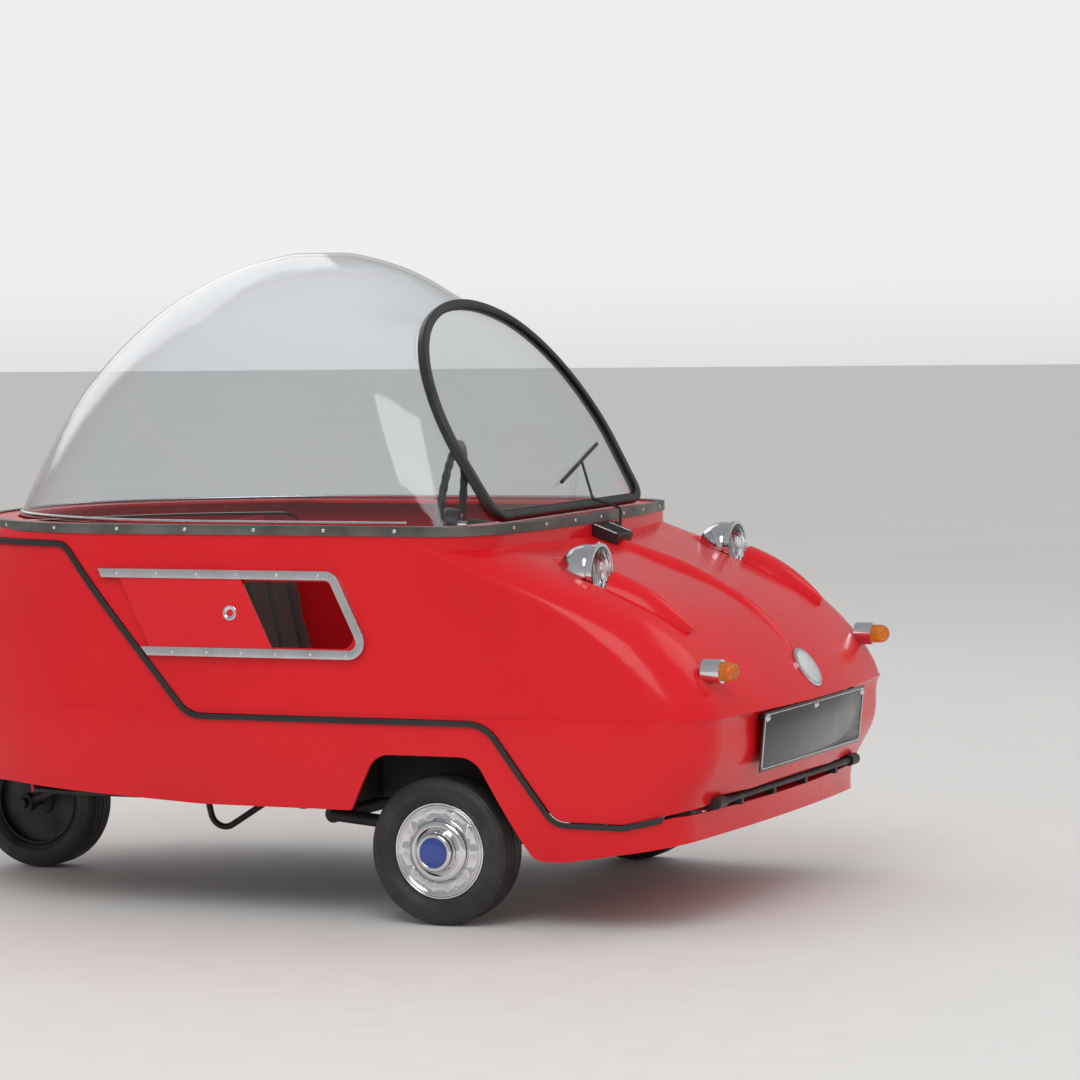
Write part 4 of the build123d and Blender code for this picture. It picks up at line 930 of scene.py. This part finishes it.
class MICROCAR_OT_cabin(bpy.types.Operator):
    """Model the steering wheel, floor mat, pedal rubbers and the lever's gaiter"""

    bl_idname = "microcar.cabin"
    bl_label = "Cabin"

    def execute(self, context):
        """Build the fittings inside the cabin."""
        self.add_steering_wheel()
        self.add_mat()
        builder = bmesh.new()
        facing = (-math.cos(PEDAL_TILT), 0, -math.sin(PEDAL_TILT))
        for pedal in PEDALS:
            base = axis_frame(pedal, facing, (0, 1, 0)) @ Matrix.Translation((0, 0, 0.0036))
            add_plate(builder, box_outline(0.054, 0.040, 0.006), 0.003, base, 0.0008)
            for number in range(-2, 3):
                rib = base @ Matrix.Translation((number * 0.0095, 0, 0.0029))
                add_plate(builder, box_outline(0.0042, 0.034, 0.0015), 0.0022, rib, 0.0007)
        add_made("pedal_rubbers", builder, "mat_rubber", "chassis")
        builder = bmesh.new()
        bellows = []
        for number in range(5):
            wide, high = 0.030 - number * 0.0042, number * 0.008
            bellows += [(wide, high), (wide + 0.0016, high + 0.002), (wide, high + 0.004),
                        (wide - 0.0034, high + 0.006)]
        lathe(builder, bellows + [(0.0066, 0.040)], 32, axis_frame(LEVER_FOOT, (0, 0, 1)))
        for vert in builder.verts:
            vert.co.x += (vert.co.z - LEVER_FOOT[2]) * LEVER_LEAN
        add_made("lever_gaiter", builder, "rubber", "chassis", 50)
        return {"FINISHED"}

    def add_steering_wheel(self):
        """Black rim with finger grips, two bright spokes with ribs, boss and shaft."""
        place = axis_frame(STEERING_CENTRE, STEERING_AXIS)
        across = place.to_3x3().inverted() @ STEERING_LEVEL
        place = place @ Matrix.Rotation(math.atan2(across.y, across.x), 4, "Z")
        builder = bmesh.new()
        steps, sides = 216, 12
        rings = []
        for number in range(steps):
            angle = 2 * math.pi * number / steps
            thick = 0.0074 + 0.0006 * math.cos(angle * GRIPS)
            ring = []
            for k in range(sides):
                side = 2 * math.pi * k / sides
                reach = STEERING_RADIUS + thick * math.cos(side)
                ring.append(builder.verts.new(place @ Vector((
                    reach * math.cos(angle), reach * math.sin(angle), thick * math.sin(side)))))
            rings.append(ring)
        for lower, upper in zip(rings, rings[1:] + rings[:1]):
            add_ring_faces(builder, lower, upper, sides)
        lathe(builder, [(0, -0.0166)] + WHEEL_BOSS, 48, place)
        add_made("steering_rim", builder, "black_plastic", "steering", 50,
                 ["steering_wheel"])
        builder = bmesh.new()
        for turn in (0.0, math.pi):
            spoke = place @ Matrix.Rotation(turn, 4, "Z")
            for side in (-0.0085, 0.0, 0.0085):
                line = [(0.026, side * 0.8, 0.0), (0.070, side, -0.0006),
                        (0.120, side * 1.1, 0.0), (0.1455, side * 1.25, 0.0)]
                add_tube(builder, [spoke @ Vector(p) for p in soften(line, 0.01)], 0.0026, 10)
            ring = spoke @ Matrix.Translation((0.1415, 0, -0.0035))
            add_plate(builder, box_outline(0.010, 0.026, 0.003), 0.007, ring, 0.001)
        lathe(builder, [(0.0110, -0.128), (0.0110, -0.016)], 24, place)
        lathe(builder, [(0.0236, 0.0132), (0.0250, 0.0142), (0.0240, 0.0156), (0.0224, 0.0148)],
              48, place, True)
        add_made("steering_spokes", builder, "polished_strip", "steering", 50)

    def add_mat(self):
        """Ribbed rubber mat over the floor, up to the seat's front."""
        x, y, z = MAT_CENTRE
        builder = bmesh.new()
        add_plate(builder, box_outline(0.42, 0.52, 0.02), 0.003,
                  Matrix.Translation(MAT_CENTRE), 0.001)
        add_made("floor_mat", builder, "mat_rubber", "chassis")
        builder = bmesh.new()
        for number in range(-18, 19):
            rib = Matrix.Translation((x, y + number * MAT_RIB_PITCH, z + 0.0029))
            add_plate(builder, box_outline(0.40, 0.005, 0.0018, 2), 0.0022, rib, 0.0007)
        add_made("mat_ribs", builder, "mat_rubber", "chassis")


class MICROCAR_OT_running(bpy.types.Operator):
    """Model the engine's finned barrel and the fittings under the car"""

    bl_idname = "microcar.running"
    bl_label = "Running gear"

    def execute(self, context):
        """Build the engine in place of its plain block, and the exhaust's clamps."""
        low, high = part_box("engine_block")
        middle = (low + high) / 2
        builder = bmesh.new()
        wide, deep = high.x - low.x, high.y - low.y
        case = Matrix.Translation((middle.x, middle.y, low.z + 0.0003))
        add_plate(builder, box_outline(wide * 0.96, deep * 0.62, 0.030, 6), 0.088, case, 0.008)
        for side in (-1, 1):
            cover = axis_frame((middle.x, middle.y + side * deep * 0.31, low.z + 0.046),
                               (0, side, 0))
            lathe(builder, [(0.040, -0.002), (0.040, 0.020), (0.036, 0.026), (0.012, 0.028),
                            (0.010, 0.031), (0, 0.031)], 40, cover)
        barrel = Matrix.Translation((middle.x, middle.y, low.z + 0.086))
        outline = [(0.022, 0)]
        for number in range(FIN_COUNT):
            along = number * FIN_PITCH
            outline += [(0.026, along), (0.046, along + 0.0004), (0.046, along + 0.0026),
                        (0.026, along + 0.0032)]
        outline += [(0.020, 0.1000), (0.010, 0.1020), (0.010, 0.1060), (0, 0.1070)]
        lathe(builder, outline, 48, barrel)
        add_made("engine_castings", builder, "cast_metal", "chassis", 32.0,
                 ["engine_block"])
        builder = bmesh.new()
        for x in SILENCER_BANDS:
            lathe(builder, [(0.0318, -0.006), (0.0328, -0.0055), (0.0328, 0.0055),
                            (0.0318, 0.006)], 40, axis_frame((x, *SILENCER), (1, 0, 0)), True)
        add_made("silencer_bands", builder, "painted_steel", "chassis")
        return {"FINISHED"}


class MICROCAR_OT_stage(bpy.types.Operator):
    """Set the floor, the light and the camera"""

    bl_idname = "microcar.stage"
    bl_label = "Studio"

    def execute(self, context):
        """Build the stage round the car."""
        settings = context.scene.microcar_studio
        builder = bmesh.new()
        bmesh.ops.create_grid(builder, x_segments=8, y_segments=8, size=FLOOR_SIZE)
        floor = bpy.data.objects.new("floor", make_mesh("floor", builder))
        context.scene.collection.objects.link(floor)
        tone = tuple(colours().floor)
        make_finish("floor_paint", tuple(c * 0.97 for c in tone), tone, (0.55, 0.7),
                    mottle=0.8, grain=60.0, grain_depth=0.0002)
        floor.data.materials.append(FINISHES["floor_paint"])
        self.add_light("key", (1.5, -4.2, 4.6), 3.2, settings.key_power)
        self.add_light("fill", (-3.5, 3.0, 3.2), 3.5, settings.fill_power)
        self.add_light("front", (3.4, 2.6, 4.2), 2.8, settings.fill_power)
        self.light_room(context, settings.sky_level)
        self.add_camera(context)
        context.scene.view_settings.view_transform = "Standard"
        return {"FINISHED"}

    def add_light(self, name, place, size, power):
        """Large soft light aimed at the middle of the car."""
        light = bpy.data.lights.new(name, "AREA")
        light.size = size
        light.energy = power
        lamp = bpy.data.objects.new(name, light)
        bpy.context.scene.collection.objects.link(lamp)
        lamp.location = place
        aim = LIGHT_AIM - Vector(place)
        lamp.rotation_euler = aim.to_track_quat("-Z", "Y").to_euler()

    def light_room(self, context, level):
        """Even sky light, with a pale room behind the car and in its reflections."""
        world = bpy.data.worlds.new("room")
        context.scene.world = world
        world.use_nodes = True
        tree = world.node_tree
        tree.nodes.clear()
        sky = add_node(tree, "Background", {"Color": (1, 1, 1, 1), "Strength": level})
        spot = add_node(tree, "TexCoord")
        split = add_node(tree, "SeparateXYZ", fed={"Vector": spot.outputs["Generated"]})
        shift = add_node(tree, "MapRange", {"From Min": -1.0}, {"Value": split.outputs["Z"]})
        ramp = add_node(tree, "ValToRGB", fed={"Fac": shift.outputs["Result"]})
        stops = ramp.color_ramp.elements
        stops[1].position = 0.5
        stops.new(1.0)
        for stop, (place, tone) in zip(stops, ROOM_TONES):
            stop.position = place
            stop.color = (*tone, 1)
        path = add_node(tree, "LightPath").outputs
        mirrored = combine(tree, "SUBTRACT", path["Is Glossy Ray"],
                           path["Is Transmission Ray"])
        duller = add_node(tree, "MapRange", {"To Min": 1.0, "To Max": REFLECTED_LEVEL},
                          {"Value": mirrored})
        room = add_node(tree, "Background", fed={"Color": ramp.outputs["Color"],
                                                 "Strength": duller.outputs["Result"]})
        seen = combine(tree, "ADD", path["Is Camera Ray"], path["Is Glossy Ray"])
        seen = combine(tree, "ADD", seen, path["Is Transmission Ray"])
        mix = add_node(tree, "MixShader", fed={0: seen, 1: sky.outputs["Background"],
                                               2: room.outputs["Background"]})
        add_node(tree, "OutputWorld", fed={"Surface": mix.outputs["Shader"]})

    def add_camera(self, context):
        """Camera at the photograph's place and angle, for a square picture."""
        yaw, pitch, roll = (math.radians(angle) for angle in CAMERA_TURN)
        back = Vector((math.sin(yaw) * math.cos(pitch), -math.cos(yaw) * math.cos(pitch),
                       math.sin(pitch)))
        level = Vector((math.cos(yaw), math.sin(yaw), 0))
        rise = back.cross(level)
        right = level * math.cos(roll) + rise * math.sin(roll)
        up = rise * math.cos(roll) - level * math.sin(roll)
        data = bpy.data.cameras.new("camera")
        data.sensor_width = SENSOR_WIDTH
        data.lens = FOCAL_PIXELS / PICTURE_PIXELS * SENSOR_WIDTH
        data.clip_end = 200.0
        camera = bpy.data.objects.new("camera", data)
        context.scene.collection.objects.link(camera)
        turn = Matrix((right, up, back)).transposed().to_4x4()
        camera.matrix_world = Matrix.Translation(CAMERA_PLACE) @ turn
        context.scene.camera = camera


class MICROCAR_PT_panel(bpy.types.Panel):
    """Steps that build the car's looks"""

    bl_label = "Microcar"
    bl_idname = "MICROCAR_PT_panel"
    bl_space_type = "VIEW_3D"
    bl_region_type = "UI"
    bl_category = "Microcar"

    def draw(self, context):
        """List the settings and the steps."""
        layout = self.layout
        for group in (context.scene.microcar_finishes, context.scene.microcar_details,
                      context.scene.microcar_studio):
            box = layout.box()
            for name in group.bl_rna.properties.keys():
                if name not in ("rna_type", "name"):
                    box.prop(group, name)
        for step in STEPS:
            layout.operator(step.bl_idname)


GROUPS = {"microcar_finishes": CarFinishes, "microcar_details": CarDetails,
          "microcar_studio": StudioSettings}
STEPS = (MICROCAR_OT_finishes, MICROCAR_OT_body, MICROCAR_OT_screws, MICROCAR_OT_wheels,
         MICROCAR_OT_lamps, MICROCAR_OT_seat, MICROCAR_OT_cabin, MICROCAR_OT_running,
         MICROCAR_OT_stage)


def register():
    """Make the settings, steps and panel known to Blender."""
    for kind in (*GROUPS.values(), *STEPS, MICROCAR_PT_panel):
        bpy.utils.register_class(kind)
    for name, kind in GROUPS.items():
        setattr(bpy.types.Scene, name, bpy.props.PointerProperty(type=kind))


def unregister():
    """Take them away again."""
    for name in GROUPS:
        delattr(bpy.types.Scene, name)
    for kind in reversed((*GROUPS.values(), *STEPS, MICROCAR_PT_panel)):
        bpy.utils.unregister_class(kind)


def main():
    """Build everything in order."""
    register()
    for step in STEPS:
        group, name = step.bl_idname.split(".")
        getattr(getattr(bpy.ops, group), name)()


if __name__ == "__main__":
    main()
